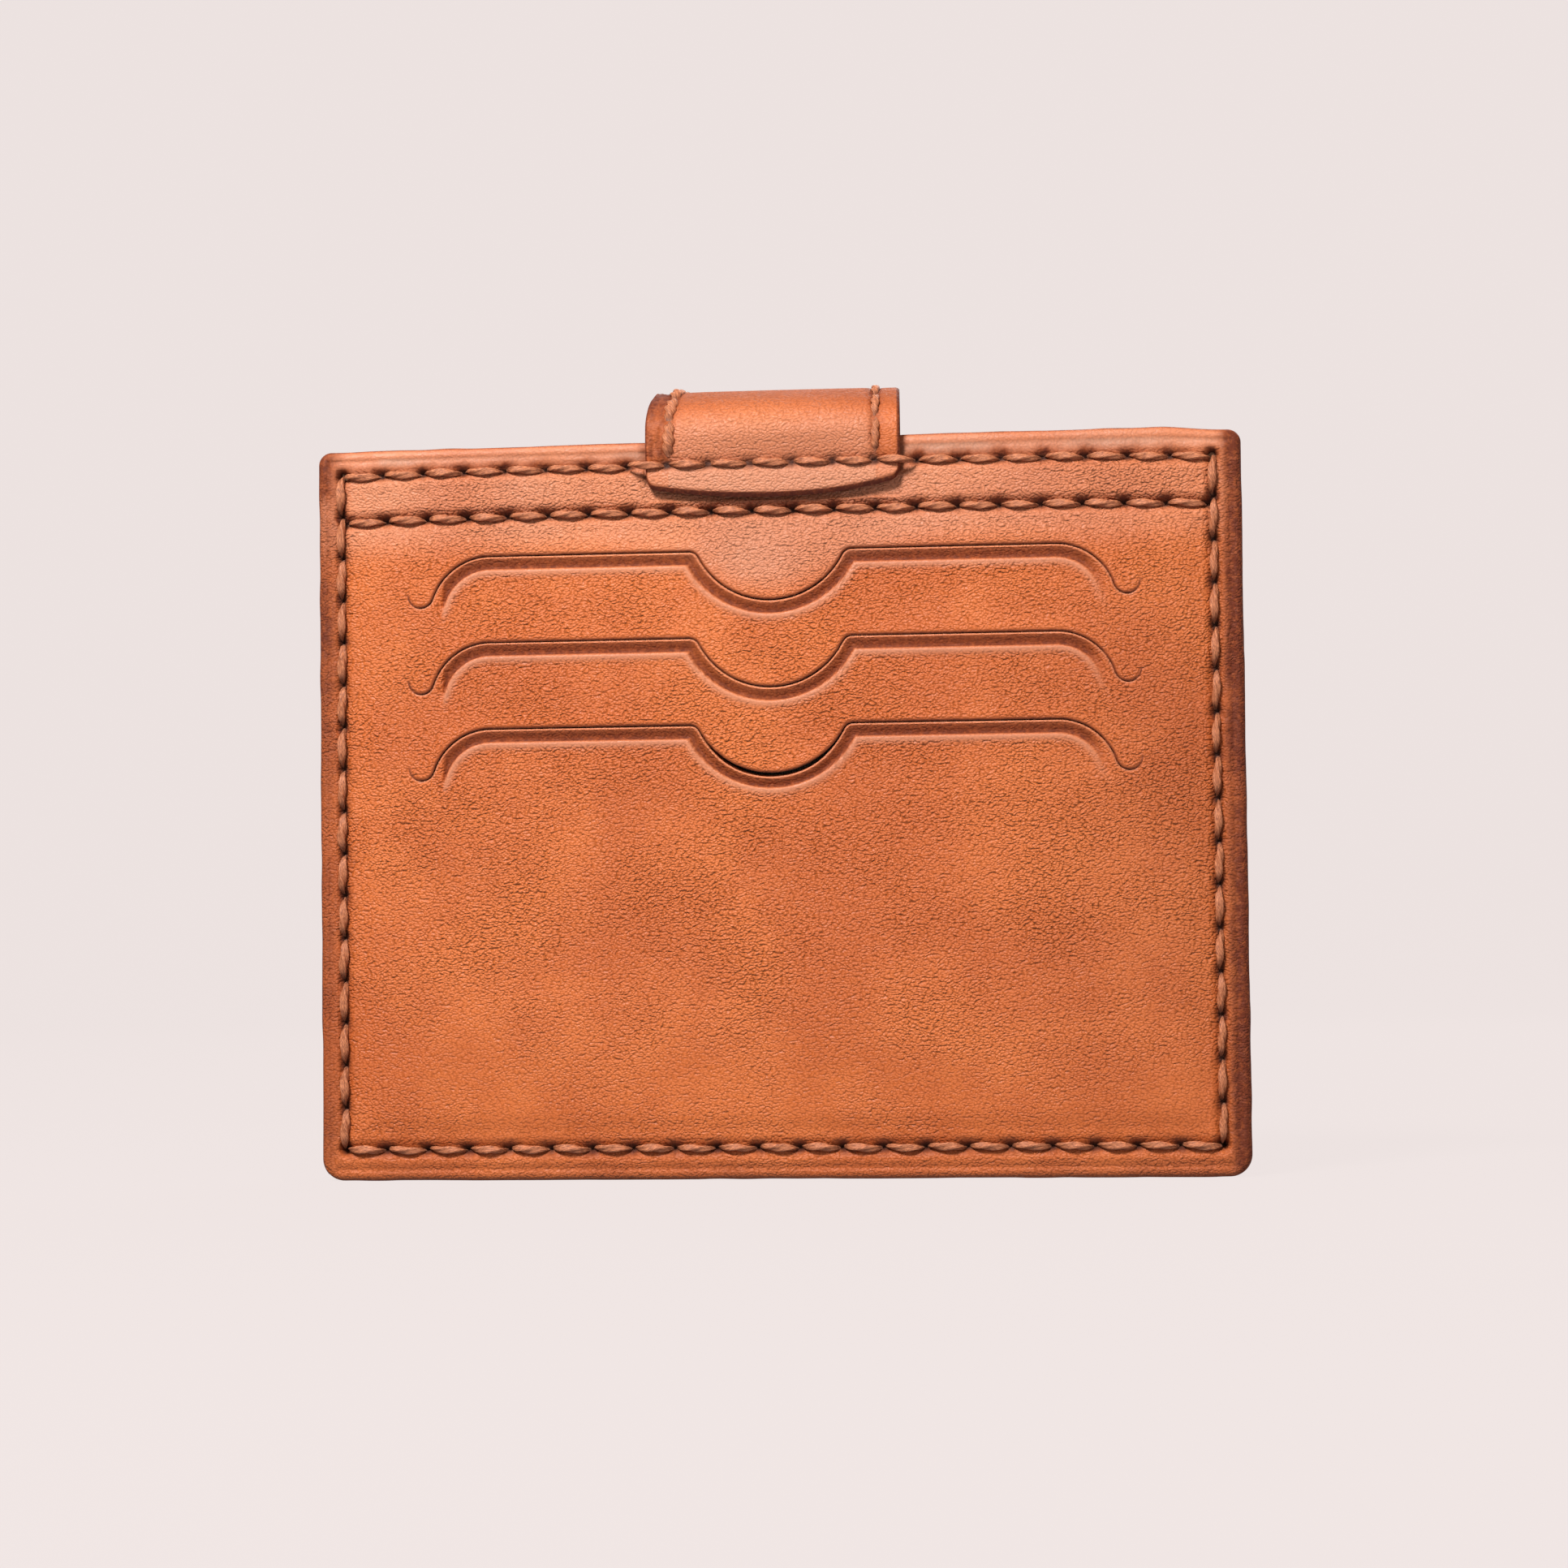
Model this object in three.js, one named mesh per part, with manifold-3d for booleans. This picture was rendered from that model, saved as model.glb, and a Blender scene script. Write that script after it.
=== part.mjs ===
// Leather card holder: a stitched front half with three die-cut card slots, a pleated main
// compartment, a back half, and a closure strap that arches over the mouth to a press stud.
// Units are millimetres. +X is to the right seen from the front, +Y points to the back, +Z is up.
// While it is being built, y = 0 is the outer face of the front panel.
import * as THREE from 'three';
import { mergeVertices } from 'three/addons/utils/BufferGeometryUtils.js';
import Module from 'manifold-3d';

const wasm = await Module();
wasm.setup();

// Overall body
const WIDTH = 112;
const HEIGHT = 88.8;
const TOP_CORNER = 1.6;
const SMALLEST_CORNER = 0.4;
const BOTTOM_CORNER = 2.7;
const TOUCH = 0.05;             // gap left between faces that lie on each other

// Layer thicknesses
const LEATHER = 1.2;
const LINING = 0.25;
const BOARD = 0.6;
const CARD_SPACE = 0.8;         // one embossed card in each slot
const COMPARTMENT = 4.6;        // main compartment, lining to lining

// Depths of the front half, from the front face backwards
const BOTTOM_SLOT_LINING_Y = LEATHER + TOUCH + CARD_SPACE;
const LINING_PITCH = LINING + CARD_SPACE;
const WELT_BACK_Y = BOTTOM_SLOT_LINING_Y + 2 * LINING_PITCH + LINING;
const FRONT_BOARD_Y = WELT_BACK_Y + TOUCH;
const FRONT_LINING_Y = FRONT_BOARD_Y + BOARD + TOUCH;
const FRONT_HALF_Y = FRONT_LINING_Y + LINING;

// Depths of the back half
const BACK_LINING_Y = FRONT_HALF_Y + COMPARTMENT;
const BACK_BOARD_Y = BACK_LINING_Y + LINING + TOUCH;
const BACK_LEATHER_Y = BACK_BOARD_Y + BOARD + TOUCH;
const BACK_Y = BACK_LEATHER_Y + LEATHER;

// Card slots: plateau height of each slit and the arcs of its outline
const SLOT_PITCH = 10.5;
const TOP_SLOT_Z = 75.5;
const SLOT_NAMES = ['top', 'middle', 'bottom'];
const SLIT_ARC_STEPS = 7;
const SAME_POINT = 0.01;        // outline points closer than this count as one
const SLOT_CENTRE_X = -0.45;
const SLIT_GAP = 0.4;
const NOTCH_RADIUS = 9.8;       // thumb notch
const NOTCH_RISE = 3.8;         // centre of the notch circle above the plateau
const NOTCH_FILLET = 1.3;
const PLATEAU_END = 34.2;
const SHOULDER_RADIUS = 7.4;
const HOOK_RADIUS = 1.6;
const HOOK_ANGLE = 0.322;       // direction from the shoulder's centre to the hook's
const POCKET_ABOVE_SLIT = 2.8;
const POCKET_HEIGHT = 50.5;

// Welts: filler strips that the seams run through
const SIDE_WELT = 5.5;
const TOP_WELT = 9;

// Seams
const STITCH = 5;
const SEAM_LEFT = -53.1;
const SEAM_RIGHT = 52.6;
const SEAM_BOTTOM = 3.7;
const TOP_ROW_Z = 86;
const SECOND_ROW_Z = 80.6;
const SEAM_CORNER = 1.2;
const THREAD_BELLY = 0.55;      // half width in the middle of a stitch
const THREAD_WAIST = 0.22;      // half width where a stitch dives into its hole
const THREAD_HEIGHT = 0.5;

// Gussets
const GUSSET_THICKNESS = 0.5;
const GUSSET_OUTER_X = 54.6;
const GUSSET_APEX_X = 44.3;
const GUSSET_FLOOR_Z = 1.8;
const GUSSET_TOP_Z = 86.5;
const BOTTOM_GUSSET_LOW = 0.3;
const BOTTOM_GUSSET_HIGH = 1.5;
const MOVING_GAP = 0.3;         // between solids on bodies that move against each other

// Press stud, on an axis along Y
const SNAP_Z = 71.5;
const POST_RADIUS = 1.5;
const POST_HOLE = 1.8;
const POST_FLANGE = 4.2;
const POST_RECESS = 4.5;
const STUD_FLANGE_RADIUS = 4.5;
const STUD_FLANGE = 0.4;
const STUD_HEAD_RADIUS = 2.4;
const STUD_NECK_RADIUS = 2.15;
const STUD_HEAD = 1.45;
const SOCKET_RADIUS = 5.5;
const SOCKET_BORE = 3.4;
const SOCKET_PLATE = 0.5;
const SPRING_INNER = 2.95;
const SPRING_OUTER = 3.2;
const SPRING_HEIGHT = 0.4;
const CAP_RADIUS = 6.25;
const CAP_HEIGHT = 1.3;
const CAP_RIM = 0.35;
const CAP_DOME_DEGREES = [27, 54, 77];
const TURNED_SIDES = 24;

// Closure strap
const STRAP_LEATHER = 1.3;
const STRAP_LINING = 0.5;
const STRAP_HALF_WIDTH = 15.4;
const TAIL_HALF_WIDTH = 14.2;
const STRAP_LINING_INSET = 0.6;
const STRAP_STANDOFF = 2.6;     // back panel to the strap's lining, held off by the snap
const TONGUE_LOW_Z = 81.9;      // lowest point of the tongue sewn under the top row
const TONGUE_SIDE_Z = 84.6;
const ARCH_FOOT_Z = HEIGHT + 0.4;
const ARCH_RISE = 6.6;
const HINGE_ANGLE = THREE.MathUtils.degToRad(15);
const TAIL_END_Z = 60;
const TAIL_CORNER = 11.5;
const STRAP_SEAM_INSET = 2.9;
const STRAP_STITCH = 4.5;
const ARCH_STITCHES = 5;
const ARCH_STEPS = 4 * ARCH_STITCHES;
const FOOT_STEPS = 3;

const STRAP_FRONT_Y = -TOUCH - STRAP_LEATHER;
const TAIL_LINING_Y = BACK_Y + STRAP_STANDOFF;
const TAIL_LEATHER_Y = TAIL_LINING_Y + STRAP_LINING + TOUCH;
const TAIL_BACK_Y = TAIL_LEATHER_Y + STRAP_LEATHER;
const ARCH_HALF_DEPTH = (TAIL_BACK_Y - STRAP_FRONT_Y) / 2;
const ARCH_CENTRE_Y = (TAIL_BACK_Y + STRAP_FRONT_Y) / 2;

// Materials
const finish = (color, roughness, metalness = 0) =>
  new THREE.MeshStandardMaterial({ color, roughness, metalness });
const TAN = finish(0xc8703f, 0.55);
const STRAP_TAN = finish(0xd27a4a, 0.55);
const CLOTH = finish(0x3a2419, 0.95);
const GUSSET_TAN = finish(0x8a4a28, 0.7);
const WELT_BROWN = finish(0x9c7a58, 0.9);
const BOARD_GREY = finish(0xa59a86, 0.95);
const THREAD = finish(0xb9683f, 0.8);
const BRASS = finish(0xa8854d, 0.35, 1);
const STEEL = finish(0xb8bcc0, 0.3, 1);

const group = new THREE.Group();

function add(name, geometry, material) {
  const mesh = new THREE.Mesh(geometry, material);
  mesh.name = name;
  group.add(mesh);
  return mesh;
}

// ---- Solids from outlines -------------------------------------------------------------

const AXIS_X = new THREE.Vector3(1, 0, 0);
const AXIS_Y = new THREE.Vector3(0, 1, 0);
const AXIS_Z = new THREE.Vector3(0, 0, 1);

function extrude(shape, depth) {
  return new THREE.ExtrudeGeometry(shape, { depth, bevelEnabled: false, curveSegments: 8 });
}

// An outline in X and Z, made solid between two depths
function plate(shape, yFront, yBack) {
  const geometry = extrude(shape, yBack - yFront);
  const toXZ = new THREE.Matrix4().makeBasis(AXIS_X, AXIS_Z, AXIS_Y.clone().negate());
  geometry.applyMatrix4(toXZ);
  return geometry.translate(0, yBack, 0);
}

// An outline in Y and Z, made solid between two positions across the width
function bar(shape, xLeft, xRight) {
  const geometry = extrude(shape, xRight - xLeft);
  geometry.applyMatrix4(new THREE.Matrix4().makeBasis(AXIS_Y, AXIS_Z, AXIS_X));
  return geometry.translate(xLeft, 0, 0);
}

function block(x0, x1, y0, y1, z0, z1) {
  const geometry = new THREE.BoxGeometry(x1 - x0, y1 - y0, z1 - z0);
  return geometry.translate((x0 + x1) / 2, (y0 + y1) / 2, (z0 + z1) / 2);
}

// ---- Booleans -------------------------------------------------------------------------

const MERGE_DISTANCE = 1e-5;

function toManifold(geometry) {
  const bare = geometry.clone();
  bare.deleteAttribute('normal');
  bare.deleteAttribute('uv');
  const merged = mergeVertices(bare, MERGE_DISTANCE);
  return new wasm.Manifold(new wasm.Mesh({
    numProp: 3,
    vertProperties: new Float32Array(merged.attributes.position.array),
    triVerts: new Uint32Array(merged.index.array),
  }));
}

function toGeometry(manifold) {
  const mesh = manifold.getMesh();
  const geometry = new THREE.BufferGeometry();
  geometry.setAttribute('position', new THREE.BufferAttribute(mesh.vertProperties, 3));
  geometry.setIndex(new THREE.BufferAttribute(mesh.triVerts, 1));
  geometry.computeVertexNormals();
  return geometry;
}

function joined(...geometries) {
  return toGeometry(geometries.map(toManifold).reduce((whole, piece) => whole.add(piece)));
}

function shared(first, second) {
  return toGeometry(toManifold(first).intersect(toManifold(second)));
}

// ---- Body outline ---------------------------------------------------------------------

function panelOutline(inset = 0) {
  const x = WIDTH / 2 - inset;
  const low = inset;
  const high = HEIGHT - inset;
  const bottom = Math.max(BOTTOM_CORNER - inset, SMALLEST_CORNER);
  const top = Math.max(TOP_CORNER - inset, SMALLEST_CORNER);
  const shape = new THREE.Shape();
  shape.absarc(x - bottom, low + bottom, bottom, -Math.PI / 2, 0);
  shape.absarc(x - top, high - top, top, 0, Math.PI / 2);
  shape.absarc(-x + top, high - top, top, Math.PI / 2, Math.PI);
  shape.absarc(-x + bottom, low + bottom, bottom, Math.PI, 1.5 * Math.PI);
  return shape;
}

// A leather face with its edge turned through a right angle, as a shallow tray
function turnedPanel(outerY, rimY, holes) {
  const face = panelOutline();
  face.holes.push(...holes);
  const rim = panelOutline();
  rim.holes.push(panelOutline(LEATHER));
  const faceEndY = outerY + Math.sign(rimY - outerY) * LEATHER;
  return joined(
    plate(face, Math.min(outerY, faceEndY), Math.max(outerY, faceEndY)),
    plate(rim, Math.min(outerY, rimY), Math.max(outerY, rimY)),
  );
}

// ---- Card slots -----------------------------------------------------------------------

// Right half of a slit's centre line, from the bottom of the thumb notch to the hook's tip,
// with the plateau at height 0
function halfSlit() {
  const filletX = Math.sqrt((NOTCH_RADIUS + NOTCH_FILLET) ** 2 - (NOTCH_RISE + NOTCH_FILLET) ** 2);
  const notchEnd = Math.atan2(-NOTCH_RISE - NOTCH_FILLET, filletX);
  const hookReach = SHOULDER_RADIUS + HOOK_RADIUS;
  const hookX = PLATEAU_END + hookReach * Math.cos(HOOK_ANGLE);
  const hookZ = -SHOULDER_RADIUS + hookReach * Math.sin(HOOK_ANGLE);
  const path = new THREE.Path();
  path.absarc(0, NOTCH_RISE, NOTCH_RADIUS, -Math.PI / 2, notchEnd);
  path.absarc(filletX, -NOTCH_FILLET, NOTCH_FILLET, notchEnd + Math.PI, Math.PI / 2, true);
  path.lineTo(PLATEAU_END, 0);
  path.absarc(PLATEAU_END, -SHOULDER_RADIUS, SHOULDER_RADIUS, Math.PI / 2, HOOK_ANGLE, true);
  path.absarc(hookX, hookZ, HOOK_RADIUS, HOOK_ANGLE + Math.PI, 2 * Math.PI);
  return path;
}

// Closed outline of a slit: both sides of its centre line, half a gap away
function slitOutline(plateauZ) {
  const half = halfSlit().getPoints(SLIT_ARC_STEPS);
  const left = half.slice(1).reverse().map((p) => new THREE.Vector2(-p.x, p.y));
  const centre = [...left, ...half].filter(
    (p, i, all) => i === 0 || p.distanceTo(all[i - 1]) > SAME_POINT,
  );
  const side = (sign) => centre.map((p, i) => {
    const before = centre[Math.max(i - 1, 0)];
    const after = centre[Math.min(i + 1, centre.length - 1)];
    const along = after.clone().sub(before).normalize();
    const x = p.x + SLOT_CENTRE_X - sign * along.y * SLIT_GAP / 2;
    return new THREE.Vector2(x, p.y + plateauZ + sign * along.x * SLIT_GAP / 2);
  });
  return new THREE.Path([...side(1), ...side(-1).reverse()]);
}

const slotHeights = SLOT_NAMES.map((name, i) => TOP_SLOT_Z - i * SLOT_PITCH);

function makeFrontHalf() {
  add('front_panel', turnedPanel(0, FRONT_HALF_Y, slotHeights.map(slitOutline)), TAN);

  const innerX = WIDTH / 2 - LEATHER - TOUCH;
  const liningX = innerX - SIDE_WELT - TOUCH;
  SLOT_NAMES.forEach((name, i) => {
    const top = slotHeights[i] + POCKET_ABOVE_SLIT;
    const y = BOTTOM_SLOT_LINING_Y + (SLOT_NAMES.length - 1 - i) * LINING_PITCH;
    const sheet = block(-liningX, liningX, y, y + LINING, top - POCKET_HEIGHT, top);
    add(`slot_lining_${name}`, sheet, CLOTH);
  });

  const weltY = LEATHER + TOUCH;
  const low = LEATHER + TOUCH;
  const high = HEIGHT - LEATHER - TOUCH;
  const sideLow = low + SIDE_WELT + TOUCH;
  const sideHigh = high - TOP_WELT - TOUCH;
  add('welt_left', block(-innerX, -innerX + SIDE_WELT, weltY, WELT_BACK_Y, sideLow, sideHigh),
    WELT_BROWN);
  add('welt_right', block(innerX - SIDE_WELT, innerX, weltY, WELT_BACK_Y, sideLow, sideHigh),
    WELT_BROWN);
  const bottomX = innerX - BOTTOM_CORNER;
  const bottomHigh = sideLow - TOUCH;
  add('welt_bottom', block(-bottomX, bottomX, weltY, WELT_BACK_Y, low, bottomHigh), WELT_BROWN);
  const topX = innerX - TOP_CORNER;
  add('welt_top', block(-topX, topX, weltY, WELT_BACK_Y, high - TOP_WELT, high), WELT_BROWN);

  const inside = panelOutline(LEATHER + TOUCH);
  add('front_stiffener', plate(inside, FRONT_BOARD_Y, FRONT_BOARD_Y + BOARD), BOARD_GREY);
  add('front_lining', plate(inside, FRONT_LINING_Y, FRONT_HALF_Y), CLOTH);
}

// ---- Compartment gussets --------------------------------------------------------------

// A side gusset is a pleat: a V that points into the compartment
function pleat(side) {
  const frontY = FRONT_HALF_Y + TOUCH;
  const backY = BACK_LINING_Y - TOUCH;
  const middleY = (frontY + backY) / 2;
  const slope = (GUSSET_OUTER_X - GUSSET_APEX_X) / (middleY - frontY);
  const innerApex = GUSSET_APEX_X + slope * GUSSET_THICKNESS;
  const shape = new THREE.Shape([
    new THREE.Vector2(side * GUSSET_OUTER_X, frontY),
    new THREE.Vector2(side * GUSSET_OUTER_X, frontY + GUSSET_THICKNESS),
    new THREE.Vector2(side * innerApex, middleY),
    new THREE.Vector2(side * GUSSET_OUTER_X, backY - GUSSET_THICKNESS),
    new THREE.Vector2(side * GUSSET_OUTER_X, backY),
    new THREE.Vector2(side * GUSSET_APEX_X, middleY),
  ]);
  return extrude(shape, GUSSET_TOP_Z - GUSSET_FLOOR_Z).translate(0, 0, GUSSET_FLOOR_Z);
}

function makeGussets() {
  add('gusset_left', pleat(-1), GUSSET_TAN);
  add('gusset_right', pleat(1), GUSSET_TAN);
  const backY = BACK_LINING_Y - MOVING_GAP;
  const floor = block(-GUSSET_OUTER_X, GUSSET_OUTER_X, FRONT_HALF_Y + TOUCH, backY,
    BOTTOM_GUSSET_LOW, BOTTOM_GUSSET_HIGH);
  add('gusset_bottom', floor, GUSSET_TAN);
}

// ---- Back half ------------------------------------------------------------------------

function roundHole(radius) {
  const hole = new THREE.Path();
  hole.absarc(0, SNAP_Z, radius, 0, 2 * Math.PI);
  return hole;
}

function makeBackHalf() {
  add('back_panel', turnedPanel(BACK_Y, BACK_LINING_Y, [roundHole(POST_HOLE)]), TAN);
  const board = panelOutline(LEATHER + TOUCH);
  board.holes.push(roundHole(POST_RECESS));
  add('back_stiffener', plate(board, BACK_BOARD_Y, BACK_BOARD_Y + BOARD), BOARD_GREY);
  const cloth = panelOutline(LEATHER + TOUCH);
  add('back_lining', plate(cloth, BACK_LINING_Y, BACK_LINING_Y + LINING), CLOTH);
}

// ---- Seams ----------------------------------------------------------------------------

// A row of stitches along a path in X and Z: wide in the middle of each stitch, narrow where
// the thread goes down into a hole. The two sides of the row are returned separately.
function stitchSides(path, pitch) {
  const steps = 2 * Math.round(path.getLength() / pitch);
  const sides = [[], []];
  for (let i = 0; i <= steps; i += 1) {
    const point = path.getPointAt(i / steps);
    const along = path.getTangentAt(i / steps);
    const half = i % 2 ? THREAD_BELLY : THREAD_WAIST;
    sides[0].push(new THREE.Vector2(point.x - along.y * half, point.y + along.x * half));
    sides[1].push(new THREE.Vector2(point.x + along.y * half, point.y - along.x * half));
  }
  return sides;
}

function openRow(path, yFront, pitch = STITCH) {
  const [left, right] = stitchSides(path, pitch);
  return plate(new THREE.Shape([...left, ...right.reverse()]), yFront, yFront + THREAD_HEIGHT);
}

// A closed ring of stitches; the path runs anticlockwise, so its left side is the inner one
function closedRow(path, yFront) {
  const [inner, outer] = stitchSides(path, STITCH);
  const shape = new THREE.Shape(outer.slice(0, -1));
  shape.holes.push(new THREE.Path(inner.slice(0, -1)));
  return plate(shape, yFront, yFront + THREAD_HEIGHT);
}

// The seam's route round the body, anticlockwise seen from the front, from startX to endX
function seamRoute(startX, endX) {
  const r = SEAM_CORNER;
  const path = new THREE.Path();
  path.moveTo(startX, TOP_ROW_Z);
  path.lineTo(SEAM_LEFT + r, TOP_ROW_Z);
  path.absarc(SEAM_LEFT + r, TOP_ROW_Z - r, r, Math.PI / 2, Math.PI);
  path.absarc(SEAM_LEFT + r, SEAM_BOTTOM + r, r, Math.PI, 1.5 * Math.PI);
  path.absarc(SEAM_RIGHT - r, SEAM_BOTTOM + r, r, -Math.PI / 2, 0);
  path.absarc(SEAM_RIGHT - r, TOP_ROW_Z - r, r, 0, Math.PI / 2);
  path.lineTo(endX, TOP_ROW_Z);
  return path;
}

function straight(x0, z0, x1, z1) {
  const path = new THREE.Path();
  path.moveTo(x0, z0);
  path.lineTo(x1, z1);
  return path;
}

function makeSeams() {
  const onFront = -TOUCH - THREAD_HEIGHT;
  const onStrap = STRAP_FRONT_Y - TOUCH - THREAD_HEIGHT;
  const riserIn = STRAP_HALF_WIDTH + MOVING_GAP;
  const riserOut = riserIn + 2 * THREAD_WAIST;
  const riser = (x0, x1) =>
    block(x0, x1, onStrap, -TOUCH, TOP_ROW_Z - THREAD_WAIST, TOP_ROW_Z + THREAD_WAIST);
  const frontSeam = joined(
    openRow(seamRoute(-riserIn, riserIn), onFront),
    openRow(straight(-riserOut, TOP_ROW_Z, riserOut, TOP_ROW_Z), onStrap),
    riser(-riserOut, -riserIn),
    riser(riserIn, riserOut),
  );
  add('front_seam_thread', frontSeam, THREAD);
  const inset = THREAD_BELLY + MOVING_GAP;
  const secondRow = straight(SEAM_LEFT + inset, SECOND_ROW_Z, SEAM_RIGHT - inset, SECOND_ROW_Z);
  add('second_row_thread', openRow(secondRow, onFront), THREAD);
  add('back_seam_thread', closedRow(seamRoute(0, 0), BACK_Y + TOUCH), THREAD);
}

// ---- Press stud -----------------------------------------------------------------------

// A turned piece on the snap's axis from [radius, y] pairs; the profile closes on itself
function turned(profile) {
  const points = profile.map(([radius, y]) => new THREE.Vector2(radius, y));
  const geometry = new THREE.LatheGeometry([...points, points[0].clone()], TURNED_SIDES);
  return geometry.translate(0, 0, SNAP_Z);
}

function makeStud() {
  const flangeY = BACK_Y + TOUCH;
  const headY = flangeY + STUD_FLANGE;
  const tipY = headY + STUD_HEAD;
  const wall = STUD_NECK_RADIUS - POST_HOLE;
  add('snap_stud', turned([
    [POST_HOLE, flangeY],
    [STUD_FLANGE_RADIUS, flangeY],
    [STUD_FLANGE_RADIUS, headY],
    [STUD_NECK_RADIUS, headY],
    [STUD_HEAD_RADIUS, headY + STUD_HEAD / 2],
    [STUD_NECK_RADIUS, tipY],
    [0, tipY],
    [0, tipY - wall],
    [POST_HOLE, tipY - wall],
  ]), BRASS);
  const postEndY = tipY - wall - MOVING_GAP;
  add('snap_post', turned([
    [0, BACK_BOARD_Y + TOUCH],
    [POST_FLANGE, BACK_BOARD_Y + TOUCH],
    [POST_FLANGE, BACK_BOARD_Y + BOARD],
    [POST_RADIUS, BACK_BOARD_Y + BOARD],
    [POST_RADIUS, postEndY],
    [0, postEndY],
  ]), BRASS);
}

function makeSocket() {
  const mouthY = BACK_Y + TOUCH + STUD_FLANGE + MOVING_GAP;
  const plateY = TAIL_LINING_Y - TOUCH - SOCKET_PLATE;
  const topY = TAIL_LINING_Y - TOUCH;
  const rollY = mouthY + CAP_RIM;
  add('snap_socket', turned([
    [SOCKET_BORE, mouthY],
    [SOCKET_RADIUS - 1, mouthY],
    [SOCKET_RADIUS, rollY],
    [SOCKET_RADIUS, topY],
    [POST_HOLE, topY],
    [POST_HOLE, plateY],
    [SOCKET_BORE, plateY],
  ]), BRASS);
  const springY = mouthY + SPRING_HEIGHT;
  add('snap_spring', turned([
    [SPRING_INNER, springY],
    [SPRING_OUTER, springY],
    [SPRING_OUTER, springY + SPRING_HEIGHT],
    [SPRING_INNER, springY + SPRING_HEIGHT],
  ]), STEEL);

  const capY = TAIL_BACK_Y + TOUCH;
  const tubeEndY = plateY + SOCKET_PLATE / 2;
  const rimY = capY + CAP_RIM;
  const dome = CAP_DOME_DEGREES.map((degrees) => {
    const angle = THREE.MathUtils.degToRad(degrees);
    const rise = (CAP_HEIGHT - CAP_RIM) * Math.sin(angle);
    return [CAP_RADIUS * Math.cos(angle), rimY + rise];
  });
  add('snap_cap', turned([
    [0, tubeEndY],
    [POST_RADIUS, tubeEndY],
    [POST_RADIUS, capY],
    [CAP_RADIUS, capY],
    [CAP_RADIUS, rimY],
    ...dome,
    [0, capY + CAP_HEIGHT],
  ]), BRASS);
}

// ---- Closure strap --------------------------------------------------------------------

// A point of the arch over the mouth, at an angle from its front foot, and offset outwards
// from the leather's outer surface
function archPoint(angle, offset) {
  const y = ARCH_CENTRE_Y - (ARCH_HALF_DEPTH + offset) * Math.cos(angle);
  return new THREE.Vector2(y, ARCH_FOOT_Z + (ARCH_RISE + offset) * Math.sin(angle));
}

function archCurve(fromAngle, toAngle, steps, offset) {
  const points = [];
  for (let i = 0; i <= steps; i += 1) {
    points.push(archPoint(fromAngle + (toAngle - fromAngle) * i / steps, offset));
  }
  return points;
}

// A band of the arch between two angles and two offsets, across the strap's width
function archBand(fromAngle, toAngle, steps, outer, inner, halfWidth) {
  const outline = [
    ...archCurve(fromAngle, toAngle, steps, outer),
    ...archCurve(toAngle, fromAngle, steps, inner),
  ];
  return bar(new THREE.Shape(outline), -halfWidth, halfWidth);
}

// A flat stretch of the strap with the first or last bit of the arch on it, before its outline
// is cut: the arch's foot runs straight down to flatZ at whichever end stands upright
function bentStrip(fromAngle, toAngle, flatZ, outer, inner, outline) {
  const out = archCurve(fromAngle, toAngle, FOOT_STEPS, outer);
  const back = archCurve(toAngle, fromAngle, FOOT_STEPS, inner);
  const foot = (point) => new THREE.Vector2(point.x, flatZ);
  const section = fromAngle === 0
    ? [foot(out[0]), ...out, ...back, foot(back[back.length - 1])]
    : [...out, foot(out[out.length - 1]), foot(back[0]), ...back];
  const strip = bar(new THREE.Shape(section), -WIDTH / 2, WIDTH / 2);
  return shared(strip, plate(outline, -WIDTH, WIDTH));
}

// The tongue below the arch's front foot: a shallow curved end
function tongueOutline() {
  const w = STRAP_HALF_WIDTH;
  const topZ = ARCH_FOOT_Z + ARCH_RISE;
  const shape = new THREE.Shape();
  shape.moveTo(w, topZ);
  shape.lineTo(-w, topZ);
  shape.lineTo(-w, TONGUE_SIDE_Z);
  const controlDrop = 2 * (TONGUE_SIDE_Z - TONGUE_LOW_Z);
  shape.quadraticCurveTo(0, TONGUE_SIDE_Z - controlDrop, w, TONGUE_SIDE_Z);
  return shape;
}

// A route down one side of the strap's tail, round its end and up the other side
function tailRoute(path, inset, topZ) {
  const w = TAIL_HALF_WIDTH - inset;
  const r = TAIL_CORNER - inset;
  const low = TAIL_END_Z + inset;
  path.moveTo(-w, topZ);
  path.lineTo(-w, low + r);
  path.absarc(-w + r, low + r, r, Math.PI, 1.5 * Math.PI);
  path.absarc(w - r, low + r, r, -Math.PI / 2, 0);
  path.lineTo(w, topZ);
  return path;
}

function tailOutline(inset) {
  const shape = tailRoute(new THREE.Shape(), inset, ARCH_FOOT_Z + ARCH_RISE);
  shape.holes.push(roundHole(POST_HOLE));
  return shape;
}

// Narrows a piece of the arch from the strap's full width at its front end to the tail's width
function narrowed(geometry, fromAngle, toAngle) {
  const frontY = archPoint(fromAngle, 0).x;
  const backY = archPoint(toAngle, 0).x;
  const position = geometry.attributes.position;
  for (let i = 0; i < position.count; i += 1) {
    const share = (position.getY(i) - frontY) / (backY - frontY);
    const width = THREE.MathUtils.lerp(STRAP_HALF_WIDTH, TAIL_HALF_WIDTH, share);
    position.setX(i, position.getX(i) * width / STRAP_HALF_WIDTH);
  }
  geometry.computeVertexNormals();
  return geometry;
}

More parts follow.
